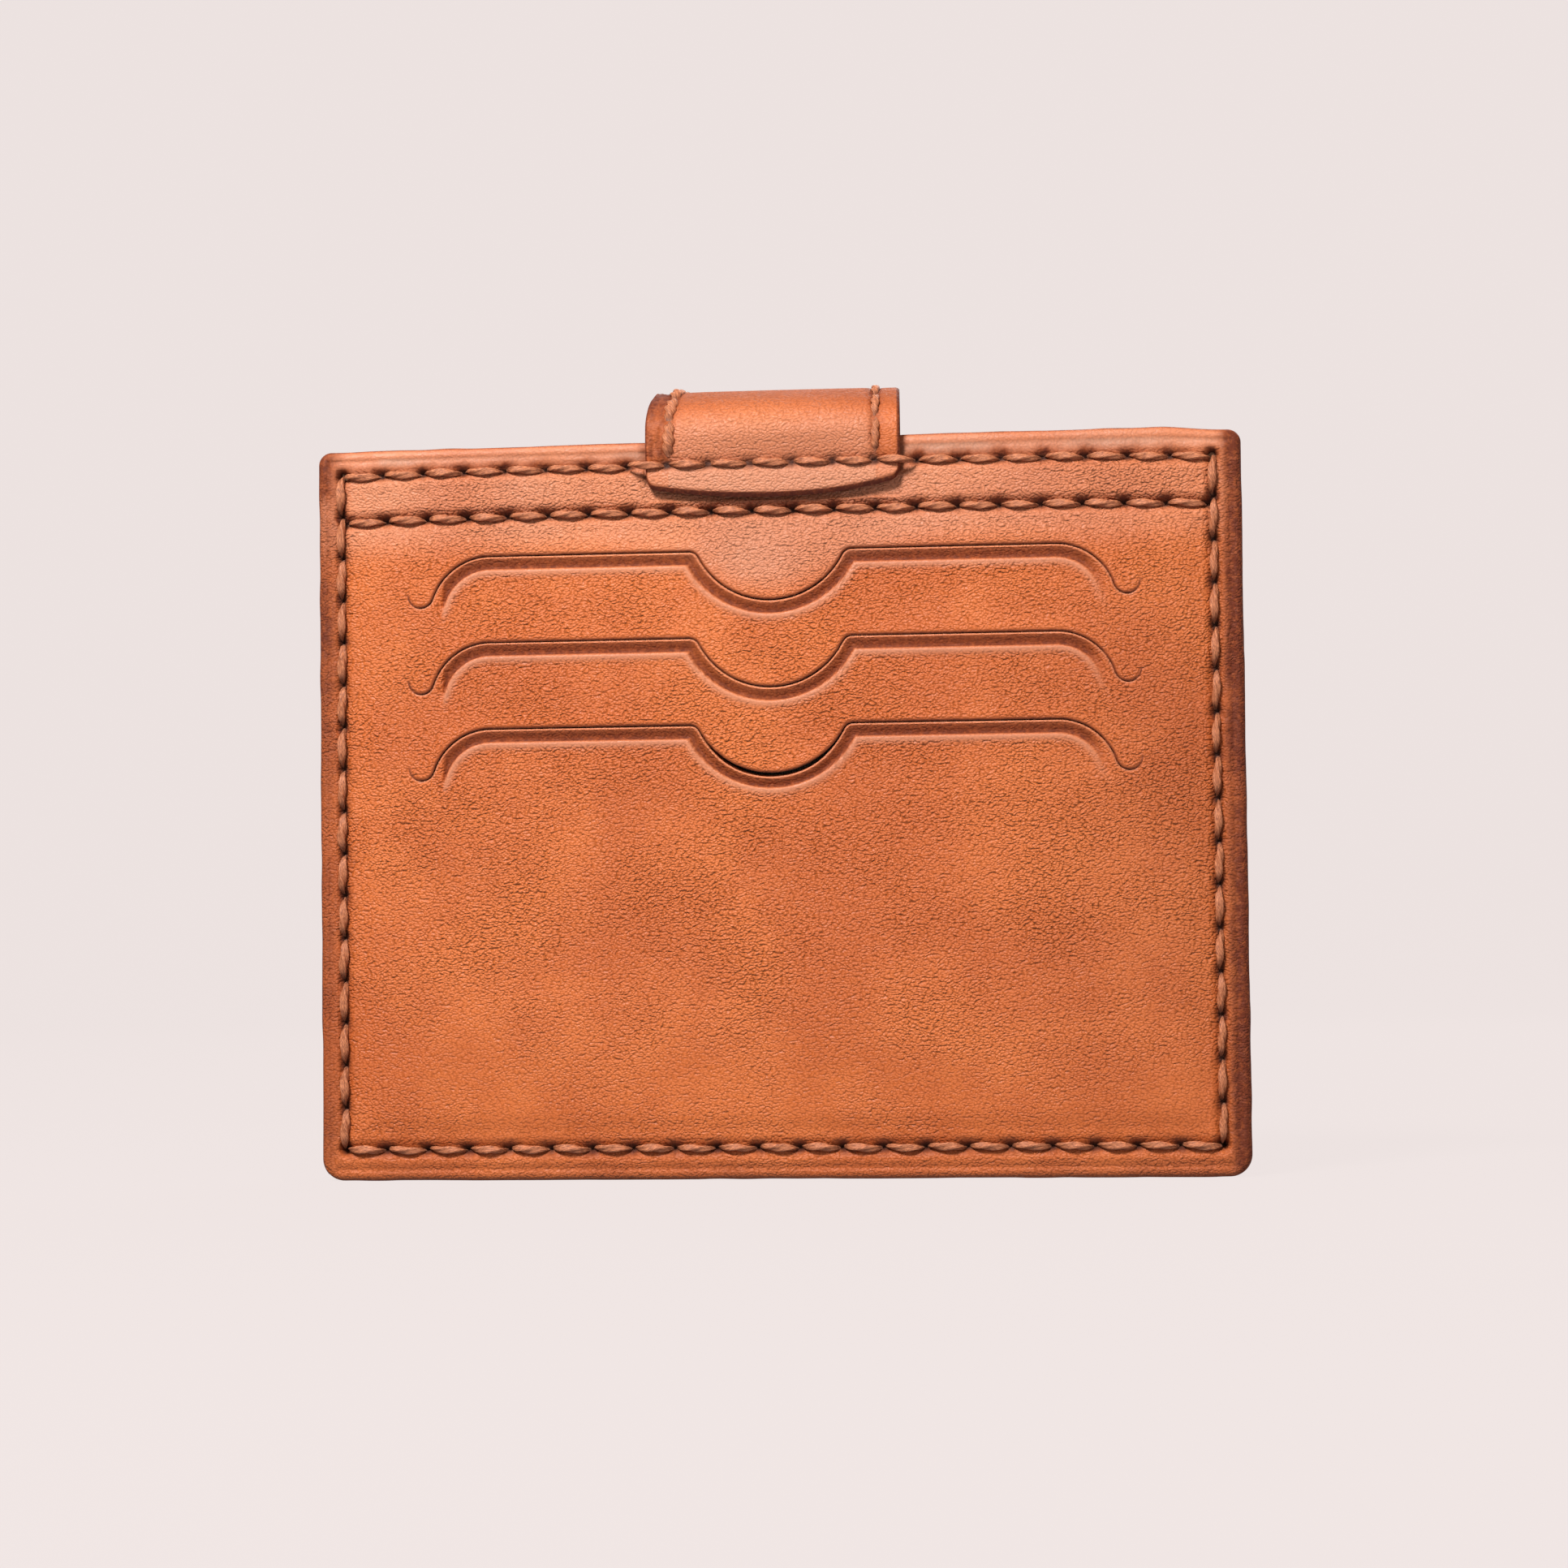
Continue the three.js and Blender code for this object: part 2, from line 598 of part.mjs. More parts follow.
// A line of stitches that follows the arch's outer surface, seen from the side
function archThread(x, fromAngle, toAngle, steps, stitches) {
  const outline = [];
  for (let i = 0; i <= steps; i += 1) {
    const angle = fromAngle + (toAngle - fromAngle) * i / steps;
    const swell = Math.abs(Math.sin(Math.PI * stitches * i / steps));
    const height = THREAD_WAIST + (THREAD_HEIGHT - THREAD_WAIST) * swell;
    outline.push(archPoint(angle, TOUCH + height));
  }
  const under = archCurve(toAngle, fromAngle, steps, TOUCH);
  return bar(new THREE.Shape([...outline, ...under]), x - THREAD_BELLY, x + THREAD_BELLY);
}

function makeStrapBase() {
  const flatZ = TONGUE_LOW_Z - LEATHER;
  const base = bentStrip(0, HINGE_ANGLE, flatZ, 0, -STRAP_LEATHER, tongueOutline());
  add('strap_base', base, STRAP_TAN);
  const seamX = STRAP_HALF_WIDTH - STRAP_SEAM_INSET;
  const lowZ = TOP_ROW_Z + THREAD_BELLY + MOVING_GAP;
  const y = STRAP_FRONT_Y - TOUCH - THREAD_HEIGHT;
  for (const [name, x] of [['left', -seamX], ['right', seamX]]) {
    const row = openRow(straight(x, lowZ, x, ARCH_FOOT_Z), y, ARCH_FOOT_Z - lowZ);
    add(`strap_base_thread_${name}`, row, THREAD);
  }
}

function makeStrapBridge() {
  const split = MOVING_GAP / (ARCH_HALF_DEPTH + ARCH_RISE);
  const from = HINGE_ANGLE + split;
  const to = Math.PI - HINGE_ANGLE - split;
  const leather = archBand(from, to, ARCH_STEPS, 0, -STRAP_LEATHER, STRAP_HALF_WIDTH);
  add('strap_bridge', narrowed(leather, from, to), STRAP_TAN);
  const liningOut = -STRAP_LEATHER - TOUCH;
  const liningX = STRAP_HALF_WIDTH - STRAP_LINING_INSET;
  const lining = archBand(from, to, ARCH_STEPS, liningOut, liningOut - STRAP_LINING, liningX);
  add('strap_bridge_lining', narrowed(lining, from, to), GUSSET_TAN);
  const seamX = STRAP_HALF_WIDTH - STRAP_SEAM_INSET;
  for (const [name, x] of [['left', -seamX], ['right', seamX]]) {
    const thread = archThread(x, from, to, ARCH_STEPS, ARCH_STITCHES);
    add(`strap_bridge_thread_${name}`, narrowed(thread, from, to), THREAD);
  }
}

function makeStrapTail() {
  const from = Math.PI - HINGE_ANGLE;
  const flatZ = TAIL_END_Z - LEATHER;
  const leather = bentStrip(from, Math.PI, flatZ, 0, -STRAP_LEATHER, tailOutline(0));
  add('strap_tail', leather, STRAP_TAN);
  const liningOut = -STRAP_LEATHER - TOUCH;
  const cloth = tailOutline(STRAP_LINING_INSET);
  const lining = bentStrip(from, Math.PI, flatZ, liningOut, liningOut - STRAP_LINING, cloth);
  add('strap_tail_lining', lining, GUSSET_TAN);
  const route = tailRoute(new THREE.Path(), STRAP_SEAM_INSET, ARCH_FOOT_Z);
  add('strap_tail_thread', openRow(route, TAIL_BACK_Y + TOUCH, STRAP_STITCH), THREAD);
}

makeFrontHalf();
makeGussets();
makeBackHalf();
makeSeams();
makeStud();
makeSocket();
makeStrapBase();
makeStrapBridge();
makeStrapTail();

// Stand the holder on its lower edge with the middle of its depth over the origin
const depthFront = STRAP_FRONT_Y - TOUCH - THREAD_HEIGHT;
const depthBack = TAIL_BACK_Y + TOUCH + CAP_HEIGHT;
group.position.y = -(depthFront + depthBack) / 2;

export default group;
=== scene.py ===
"""Leather card holder: the visible pieces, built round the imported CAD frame.

Shapes are worked out in millimetres, with y = 0 on the outer face of the front leather and y
growing towards the back, and go to the frame's metres when a mesh is made.
"""
import math

import bmesh
import bpy
import numpy as np
from mathutils import Matrix, Vector


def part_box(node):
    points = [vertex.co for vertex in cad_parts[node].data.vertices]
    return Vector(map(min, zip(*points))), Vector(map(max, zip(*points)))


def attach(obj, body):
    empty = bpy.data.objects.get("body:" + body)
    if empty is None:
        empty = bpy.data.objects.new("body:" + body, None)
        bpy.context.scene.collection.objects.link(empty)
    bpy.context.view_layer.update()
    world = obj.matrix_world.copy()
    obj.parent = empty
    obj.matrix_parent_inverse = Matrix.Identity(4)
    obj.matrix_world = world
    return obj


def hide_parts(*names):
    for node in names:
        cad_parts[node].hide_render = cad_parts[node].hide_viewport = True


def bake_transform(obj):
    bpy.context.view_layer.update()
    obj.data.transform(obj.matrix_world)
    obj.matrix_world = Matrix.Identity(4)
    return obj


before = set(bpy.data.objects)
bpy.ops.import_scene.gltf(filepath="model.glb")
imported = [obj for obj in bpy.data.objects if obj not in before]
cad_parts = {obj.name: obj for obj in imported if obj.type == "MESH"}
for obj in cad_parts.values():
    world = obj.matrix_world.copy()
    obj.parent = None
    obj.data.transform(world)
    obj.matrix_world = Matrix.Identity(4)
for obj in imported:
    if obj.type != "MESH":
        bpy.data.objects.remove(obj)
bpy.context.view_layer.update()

MM = 0.001
UV_PER_MM = 0.01
FACE_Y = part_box("front_panel")[0].y / MM


def node_box(node):
    """Lowest and highest corner of a CAD node in millimetres, measured from the front face."""
    low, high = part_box(node)
    shift = Vector((0.0, FACE_Y, 0.0))
    return low / MM - shift, high / MM - shift


# ---- Sizes read from the frame ---------------------------------------------------------

HALF_WIDTH, FRONT_DEPTH, HEIGHT = node_box("front_panel")[1]
BACK_LOW, BACK_HIGH = node_box("back_panel")
STRAP_LOW, STRAP_HIGH = node_box("strap_base")
TAIL_LOW, TAIL_HIGH = node_box("strap_tail")
BRIDGE_LOW, BRIDGE_HIGH = node_box("strap_bridge")
CAP_LOW, CAP_HIGH = node_box("snap_cap")

# ---- Sizes of the leather work ---------------------------------------------------------

LEATHER = 1.2
SHARP_TURN = 50.0               # degrees between faces that a sheet still shades as smooth
TOP_CORNER = 1.6
BOTTOM_CORNER = 2.7
ROLL = 1.0                      # radius of the turned edge
EDGE_DYE = 0.88

LINING_ABOVE_SLIT = 2.8
SLOT_HEIGHTS = [node_box(f"slot_lining_{place}")[1].z - LINING_ABOVE_SLIT
                for place in ("bottom", "middle", "top")]
SLOT_X = -0.45
NOTCH_RADIUS = 9.8
NOTCH_RISE = 3.8
NOTCH_FILLET = 1.3
PLATEAU_END = 34.2
SHOULDER_RADIUS = 7.4
HOOK_RADIUS = 1.6
HOOK_ANGLE = 0.322
HOOK_TIP = math.radians(-5)
SETTLE = 7.0                    # how far beyond its hooks a slit's line still bends the sheet
PLATEAU_GAPS = (0.07, 0.03, 0.04)
NOTCH_GAPS = (0.44, 0.08, 0.10)
TIP_GAP = 0.04
LIP_WIDTH = 0.24
LIP_ROUNDING = 0.16
BAND_DEPTH = 0.50
RIDGE_AT = 2.0
RIDGE_RISE = 0.24

STITCH = 5.0
SEAM_LEFT = -53.1
SEAM_RIGHT = 52.6
SEAM_BOTTOM = 3.8
TOP_ROW = 86.0
SECOND_ROW = 80.4
TOP_ROW_PITCH = (SEAM_RIGHT - SEAM_LEFT) / round((SEAM_RIGHT - SEAM_LEFT) / STITCH)
ROW_GROOVE = 0.34
HOLE_DEPTH = 0.85
STITCH_HEIGHT = 0.26
ROPE_SIDES = 18
ROPE_LOBES = 3
LOBE_DEPTH = 0.27
ROPE_FLATTENING = 0.72

STRAP_LEATHER = 1.3
STRAP_LINING = 0.5
STRAP_HALF = STRAP_HIGH.x
TAIL_HALF = TAIL_HIGH.x
STRAP_SEAM_INSET = 2.9
STRAP_STITCH = 4.5
STRAP_STEP = 0.45               # between points along the strap's sheets
TONGUE_LOW = STRAP_LOW.z
TONGUE_SIDE = 84.6
TAIL_CORNER = 11.5
ARCH_FOOT = HEIGHT + 0.4
ARCH_CENTRE = (STRAP_LOW.y + TAIL_HIGH.y) / 2
ARCH_DEPTH = (TAIL_HIGH.y - STRAP_LOW.y) / 2
ARCH_RISE = BRIDGE_HIGH.z - ARCH_FOOT
SNAP_Z = (CAP_LOW.z + CAP_HIGH.z) / 2
GRAIN_CELL = 0.30               # one pebble of the leather's grain
WEAVE = 0.62                    # one over and under of the lining cloth

# Point values: dye with painted shade, painted sheen with some wear, painted shade in stitch
# holes, and calm grain.
SURFACE_FIELDS = ("dye", "dust", "pit", "calm")


# ---- Small numeric helpers -------------------------------------------------------------

def ramp(value, low, high):
    """0 below low, 1 above high, smooth between them."""
    t = np.clip((np.asarray(value, float) - low) / (high - low), 0.0, 1.0)
    return t * t * (3.0 - 2.0 * t)


def fading(value, low, high):
    """1 below low, 0 above high, smooth between them."""
    return 1.0 - ramp(value, low, high)


def bell(value, width):
    """1 at 0, fading away on both sides within about twice the width."""
    return np.exp(-((np.asarray(value, float) / width) ** 2))


def wander(x, y, cell, seed):
    """Smooth noise from -1 to 1 over a plane, with features about one cell across."""
    size = 64
    table = np.random.default_rng(seed).uniform(-1.0, 1.0, (size, size))
    u = np.asarray(x, float) / cell + 17.3
    v = np.asarray(y, float) / cell + 9.7
    i, j = np.floor(u).astype(int), np.floor(v).astype(int)
    fu, fv = u - i, v - j
    fu, fv = fu * fu * (3 - 2 * fu), fv * fv * (3 - 2 * fv)

    def corner(di, dj):
        return table[(i + di) % size, (j + dj) % size]

    low = corner(0, 0) * (1 - fu) + corner(1, 0) * fu
    high = corner(0, 1) * (1 - fu) + corner(1, 1) * fu
    return low * (1 - fv) + high * fv


def spaced(start, *runs):
    """Positions from start through each (end, step) run."""
    values = [start]
    for end, step in runs:
        count = max(1, round(abs(end - values[-1]) / step))
        values.extend(np.linspace(values[-1], end, count + 1)[1:])
    return np.array(values)


def mirrored(half):
    """Positions from 0 outwards, with their opposites put in front."""
    return np.concatenate([-half[:0:-1], half])


def raise_to(values, key, amount):
    """Lifts one of a surface's values to at least this much."""
    values[key] = np.maximum(values[key], amount)


# ---- Mesh helpers ----------------------------------------------------------------------

def grid_faces(index, flip=False):
    """Quads over a 2-D table of vertex numbers."""
    a, b = index[:-1, :-1], index[:-1, 1:]
    c, d = index[1:, 1:], index[1:, :-1]
    order = (a, d, c, b) if flip else (a, b, c, d)
    return np.stack([corner.ravel() for corner in order], axis=1)


def link_object(name, data):
    """An object for some data, put in the scene."""
    made = bpy.data.objects.new(name, data)
    bpy.context.scene.collection.objects.link(made)
    return made


def make_piece(name, points, faces, fields=None, uv=None):
    """A smooth mesh object from points in millimetres, with named point values."""
    points = np.asarray(points, float).reshape(-1, 3)
    mesh = bpy.data.meshes.new(name)
    placed = (points + np.array([0.0, FACE_Y, 0.0])) * MM
    mesh.from_pydata(placed.tolist(), [], faces if isinstance(faces, list) else faces.tolist())
    for field, values in (fields or {}).items():
        layer = mesh.attributes.new(field, "FLOAT", "POINT")
        layer.data.foreach_set("value", np.asarray(values, np.float32).ravel())
    if uv is not None:
        corners = np.zeros(len(mesh.loops), np.int32)
        mesh.loops.foreach_get("vertex_index", corners)
        layer = mesh.uv_layers.new(name="UVMap")
        flat = np.asarray(uv, np.float32).reshape(-1, 2)[corners] * UV_PER_MM
        layer.data.foreach_set("uv", flat.ravel())
    mesh.validate()
    mesh.shade_smooth()
    return link_object(name, mesh)


def grid_piece(name, x, y, z, uv, fields=None, flip=False):
    """A smooth sheet from tables of coordinates; uv is a pair of tables as well."""
    index = np.arange(x.size).reshape(x.shape)
    return make_piece(name, np.stack([x, y, z], axis=-1), grid_faces(index, flip), fields,
                      np.stack(uv, axis=-1))


def thicken(piece, thickness):
    """Gives an open sheet its thickness, on the side its faces point away from."""
    solid = piece.modifiers.new("thickness", "SOLIDIFY")
    solid.thickness = thickness * MM
    solid.offset = -1.0
    solid.use_even_offset = False
    bpy.context.view_layer.update()
    evaluated = piece.evaluated_get(bpy.context.evaluated_depsgraph_get())
    mesh = bpy.data.meshes.new_from_object(evaluated)
    piece.modifiers.clear()
    old = piece.data
    piece.data = mesh
    bpy.data.meshes.remove(old)
    mesh.shade_smooth()
    mesh.set_sharp_from_angle(angle=math.radians(SHARP_TURN))
    return piece


def finish_piece(piece, material, body=None, replaces=()):
    """Gives a piece its material and tells the frame about it.

    The frame's own materials have the same names, so Blender puts a number after ours.
    """
    piece.data.materials.clear()
    piece.data.materials.append(material)
    if body:
        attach(piece, body)
    if replaces:
        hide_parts(*replaces)
    return piece


# ---- Node helpers ----------------------------------------------------------------------

class Nodes:
    """Short forms for building a material's node tree."""

    def __init__(self, name):
        self.material = bpy.data.materials.new(name)
        self.material.use_nodes = True
        self.tree = self.material.node_tree
        self.shader = self.tree.nodes["Principled BSDF"]

    def feed(self, node, inputs):
        """Links or sets a node's inputs, given by name or number."""
        for key, value in inputs.items():
            if isinstance(value, bpy.types.NodeSocket):
                self.tree.links.new(value, node.inputs[key])
            else:
                node.inputs[key].default_value = value

    def finish(self, **inputs):
        """Feeds the shader; an underscore stands for a space in an input's name."""
        self.feed(self.shader, {key.replace("_", " "): value for key, value in inputs.items()})
        return self.material

    def node(self, kind, inputs, **settings):
        made = self.tree.nodes.new(kind)
        for key, value in settings.items():
            setattr(made, key, value)
        self.feed(made, inputs)
        return made

    def math(self, operation, first, second=0.0):
        return self.node("ShaderNodeMath", {0: first, 1: second}, operation=operation).outputs[0]

    def vector(self, operation, first, second):
        inputs = {0: first, 1: second}
        return self.node("ShaderNodeVectorMath", inputs, operation=operation).outputs[0]

    def mix(self, factor, first, second):
        first, second = ((*value, 1.0) if isinstance(value, tuple) else value
                         for value in (first, second))
        inputs = {"Factor": factor, 6: first, 7: second}
        return self.node("ShaderNodeMix", inputs, data_type="RGBA").outputs[2]

    def level(self, value, low, high, to_low=0.0, to_high=1.0):
        inputs = dict(enumerate((value, low, high, to_low, to_high)))
        return self.node("ShaderNodeMapRange", inputs, interpolation_type="SMOOTHSTEP").outputs[0]

    def field(self, name):
        return self.node("ShaderNodeAttribute", {}, attribute_name=name).outputs["Fac"]

    def surface_uv(self, stretch=(1.0, 1.0)):
        """The sheet's own coordinates in millimetres, optionally stretched."""
        uv = self.node("ShaderNodeUVMap", {}, uv_map="UVMap").outputs[0]
        return self.vector("MULTIPLY", uv, (stretch[0] / UV_PER_MM, stretch[1] / UV_PER_MM, 1.0))

    def noise(self, vector, scale, detail=2.0, roughness=0.5, output="Fac"):
        inputs = {"Vector": vector, "Scale": scale, "Detail": detail, "Roughness": roughness}
        return self.node("ShaderNodeTexNoise", inputs, noise_dimensions="2D").outputs[output]

    def cloud(self, scale, detail):
        """Solid noise, for pieces without sheet coordinates."""
        place = self.node("ShaderNodeTexCoord", {}).outputs["Object"]
        inputs = {"Vector": place, "Scale": scale, "Detail": detail}
        return self.node("ShaderNodeTexNoise", inputs).outputs["Fac"]

    def cells(self, vector, scale):
        inputs = {"Vector": vector, "Scale": scale, "Smoothness": 0.55}
        return self.node("ShaderNodeTexVoronoi", inputs, feature="SMOOTH_F1",
                         voronoi_dimensions="2D").outputs["Distance"]

    def shifted(self, vector, colour, amount):
        """A vector pushed about by a noise colour."""
        centred = self.vector("SUBTRACT", colour, (0.5, 0.5, 0.5))
        return self.vector("ADD", vector, self.vector("MULTIPLY", centred, (amount,) * 3))

    def bump(self, height, strength, distance):
        inputs = {"Strength": strength, "Distance": distance * MM, "Height": height}
        return self.node("ShaderNodeBump", inputs).outputs[0]


# ---- Materials -------------------------------------------------------------------------

# Colours of the painted sheen (also the gussets' worn folds), and of the painted shade in stitch
# holes.
SHEEN_WEAR_PINK = (0.61, 0.335, 0.225)
SHEEN_WEAR_GREY = (0.45, 0.295, 0.215)
HOLE_SHADE_BROWN = (0.035, 0.008, 0.003)


def grain_height(n):
    """Pebbled leather: small rounded cells with narrow valleys, longer across than up."""
    fine = n.surface_uv((0.82, 1.12))
    bent = n.shifted(fine, n.noise(fine, 0.8, 1.0, 0.5, "Color"), 0.5)
    cells = n.cells(bent, 1.0 / GRAIN_CELL)
    pebble = n.math("SUBTRACT", 1.0, n.math("MULTIPLY", n.math("MULTIPLY", cells, cells), 2.6))
    crumb = n.noise(bent, 2.5, 2.0, 0.55)
    patchy = n.level(n.noise(fine, 0.09, 2.0), 0.3, 0.7, 0.6, 1.1)
    whole = n.math("ADD", n.math("MULTIPLY", pebble, 0.95), n.math("MULTIPLY", crumb, 0.75))
    return whole, n.math("MULTIPLY", whole, patchy)


def leather_colour(n, level, dye, light, deep, dark):
    """Mottled tan with painted shade in the grain's valleys and a painted highlight on its
    pebbles, then darkened by dye and painted shade, lightened by painted sheen and darkened as
    painted shade in the stitch holes, all from the mesh's values.
    """
    wide = n.surface_uv()
    mottle = n.level(n.noise(wide, 0.045, 4.0, 0.6), 0.32, 0.68)
    patch = n.level(n.noise(wide, 0.21, 3.0, 0.6), 0.38, 0.72)
    colour = n.mix(mottle, deep, light)
    colour = n.mix(n.math("MULTIPLY", patch, 0.28), colour, deep)
    # Painted shade in the grain's low valleys, and a painted highlight on its high pebbles.
    colour = n.mix(n.level(level, 0.55, 1.15, 0.16, 0.0), colour, dark)
    pebble_highlight = tuple(1.25 * c + 0.05 for c in light)
    colour = n.mix(n.level(level, 0.95, 1.45, 0.0, 0.30), colour, pebble_highlight)
    streaky = n.level(n.noise(wide, 1.4, 3.0, 0.65), 0.2, 0.7, 0.72, 1.12)
    colour = n.mix(n.math("MINIMUM", n.math("MULTIPLY", dye, streaky), 1.0), colour, dark)
    bare = n.math("SUBTRACT", 1.0, n.math("MINIMUM", n.math("MULTIPLY", dye, 1.25), 1.0))
    # Painted sheen, pinkish where faint and greyer where strong; on the gussets' folds it stands
    # for wear.
    dust = n.field("dust")
    sheen_tint = n.mix(n.level(dust, 0.68, 0.92), SHEEN_WEAR_PINK, SHEEN_WEAR_GREY)
    colour = n.mix(n.math("MULTIPLY", n.math("MULTIPLY", dust, 0.62), bare), colour, sheen_tint)
    # Painted shade in the stitch holes.
    return n.mix(n.field("pit"), colour, HOLE_SHADE_BROWN)


def leather(name, light, deep, dark, grain=1.0, roughness=0.50):
    """Aged tan leather. The mesh's own values set where it is dyed or painted with shade, where
    painted sheen lightens it, where its holes are painted dark as shade, and where its grain is
    calm.
    """
    n = Nodes(name)
    level, height = grain_height(n)
    dye = n.field("dye")
    rough = n.level(n.noise(n.surface_uv(), 0.9, 3.0), 0.3, 0.7, roughness - 0.06, roughness + 0.1)
    calmed = n.math("MULTIPLY", height, n.math("SUBTRACT", 1.0, n.field("calm")))
    specks = n.noise(n.surface_uv((1.6, 1.0)), 3.4, 2.0, 0.6)
    calmed = n.math("ADD", calmed, n.math("MULTIPLY", specks, 0.16))
    return n.finish(Base_Color=leather_colour(n, level, dye, light, deep, dark),
                    Roughness=n.math("ADD", rough, n.math("MULTIPLY", dye, 0.3)),
                    Specular_IOR_Level=0.34, Normal=n.bump(calmed, grain, 0.110))


def thread_material():
    n = Nodes("waxed_thread")
    fibres = n.noise(n.surface_uv((0.8, 5.0)), 2.4, 3.0, 0.6)
    colour = n.mix(n.level(fibres, 0.3, 0.7), (0.20, 0.047, 0.014), (0.63, 0.215, 0.088))
    # Painted shade where the thread dives into its holes.
    colour = n.mix(n.math("MULTIPLY", n.field("pit"), 0.8), colour, (0.05, 0.012, 0.005))
    return n.finish(Base_Color=colour, Roughness=0.66, Normal=n.bump(fibres, 0.35, 0.05))


def cloth_material():
    """Plain weave: threads over and under each other, about three to the millimetre."""
    n = Nodes("lining_cloth")
    uv = n.surface_uv()
    split = n.node("ShaderNodeSeparateXYZ", {0: uv})
    warp, weft = (n.math("SINE", n.math("MULTIPLY", split.outputs[i], 2 * math.pi / WEAVE))
                  for i in (0, 1))
    ribs = n.math("ABSOLUTE", n.math("MULTIPLY", warp, weft))
    slub = n.noise(uv, 1.1, 3.0)
    height = n.math("ADD", ribs, n.math("MULTIPLY", slub, 0.5))
    colour = n.mix(n.level(height, 0.1, 1.3), (0.022, 0.013, 0.008), (0.17, 0.10, 0.055))
    return n.finish(Base_Color=colour, Roughness=0.9, Sheen_Weight=0.25,
                    Normal=n.bump(height, 0.7, 0.12))


def board_material(name, light, dark):
    """Pressed fibre board for the pieces inside."""
    n = Nodes(name)
    fibre = n.cloud(900.0, 4.0)
    return n.finish(Base_Color=n.mix(n.level(fibre, 0.3, 0.7), dark, light), Roughness=0.9,
                    Normal=n.bump(fibre, 0.4, 0.1))


def metal_material(name, bright, tarnish, roughness):
    """Plated metal with slightly duller patches."""
    n = Nodes(name)
    cloud = n.cloud(420.0, 5.0)
    pebble_highlight = n.level(cloud, 0.35, 0.65)
    return n.finish(Base_Color=n.mix(pebble_highlight, tarnish, bright), Metallic=1.0,
                    Roughness=n.level(pebble_highlight, 0.0, 1.0, roughness + 0.18, roughness),
                    Normal=n.bump(cloud, 0.12, 0.05))


TAN = leather("tan_leather", (0.61, 0.145, 0.028), (0.50, 0.103, 0.016), (0.125, 0.019, 0.003))
STRAP_TAN = leather("strap_leather", (0.59, 0.145, 0.032), (0.50, 0.11, 0.020),
                    (0.12, 0.018, 0.004), grain=0.8, roughness=0.52)
BROWN = leather("lining_leather", (0.24, 0.085, 0.035), (0.15, 0.048, 0.02),
                (0.05, 0.015, 0.006), grain=0.3, roughness=0.6)
THREAD = thread_material()
CLOTH = cloth_material()
STIFFENER = board_material("stiffener_board", (0.42, 0.35, 0.27), (0.26, 0.21, 0.16))
WELT = board_material("welt_board", (0.36, 0.19, 0.10), (0.17, 0.085, 0.045))
BRASS = metal_material("snap_brass", (0.60, 0.42, 0.19), (0.40, 0.27, 0.115), 0.28)
STEEL = metal_material("spring_steel", (0.72, 0.72, 0.74), (0.42, 0.42, 0.44), 0.22)


# ---- Slits -----------------------------------------------------------------------------

FILLET_X = math.sqrt((NOTCH_RADIUS + NOTCH_FILLET) ** 2 - (NOTCH_RISE + NOTCH_FILLET) ** 2)
NOTCH_END_X = FILLET_X * NOTCH_RADIUS / (NOTCH_RADIUS + NOTCH_FILLET)
HOOK_REACH = SHOULDER_RADIUS + HOOK_RADIUS
HOOK_X = PLATEAU_END + HOOK_REACH * math.cos(HOOK_ANGLE)
HOOK_Z = -SHOULDER_RADIUS + HOOK_REACH * math.sin(HOOK_ANGLE)
SHOULDER_END_X = PLATEAU_END + SHOULDER_RADIUS * math.cos(HOOK_ANGLE)
TIP_X = HOOK_X + HOOK_RADIUS * math.cos(HOOK_TIP)


def slit_drop(x):
    """Height of a slit's line at x, from its plateau; it settles back beyond the hooks."""
    a = np.abs(np.asarray(x, float) - SLOT_X)
    inside = np.minimum(a, TIP_X)

    def arc(radius, centre):
        return np.sqrt(np.maximum(radius ** 2 - (inside - centre) ** 2, 0.0))

    drop = np.select(
        [inside <= NOTCH_END_X, inside <= FILLET_X, inside <= PLATEAU_END,
         inside <= SHOULDER_END_X],
        [NOTCH_RISE - arc(NOTCH_RADIUS, 0.0), -NOTCH_FILLET + arc(NOTCH_FILLET, FILLET_X),
         np.zeros_like(inside), -SHOULDER_RADIUS + arc(SHOULDER_RADIUS, PLATEAU_END)],
        HOOK_Z - arc(HOOK_RADIUS, HOOK_X))
    return drop * fading(a, TIP_X, TIP_X + SETTLE)


def slit_samples():
    """Points along one slit, close together, with the plateau at height 0."""
    x = np.linspace(-TIP_X, TIP_X, 1400) + SLOT_X
    z = slit_drop(x)
    along = np.concatenate([[0.0], np.cumsum(np.hypot(np.diff(x), np.diff(z)))])
    even = np.linspace(0.0, along[-1], 900)
    return np.interp(even, along, x), np.interp(even, along, z)


def slit_distance(x, z, plateau):
    """Distance to a slit, for points near it; far points get a large number."""
    far = 99.0
    result = np.full(x.shape, far)
    near = (z < plateau + 6.0) & (z > plateau - 13.0) & (np.abs(x - SLOT_X) < TIP_X + 5.0)
    line_x, line_z = slit_samples()
    picked = np.flatnonzero(near)
    for chunk in np.array_split(picked, max(1, len(picked) // 4000)):
        dx = x[chunk][:, None] - line_x[None, :]
        dz = z[chunk][:, None] - plateau - line_z[None, :]
        result[chunk] = np.sqrt((dx * dx + dz * dz).min(axis=1))
    return result


def above_slit(surface, plateau):
    """Whether each point is above a slit; the cut's own points say which lip they are on."""
    level = surface["level"]
    return (level > plateau + 1e-6) | (surface["upper"] & (level > plateau - 1e-6))


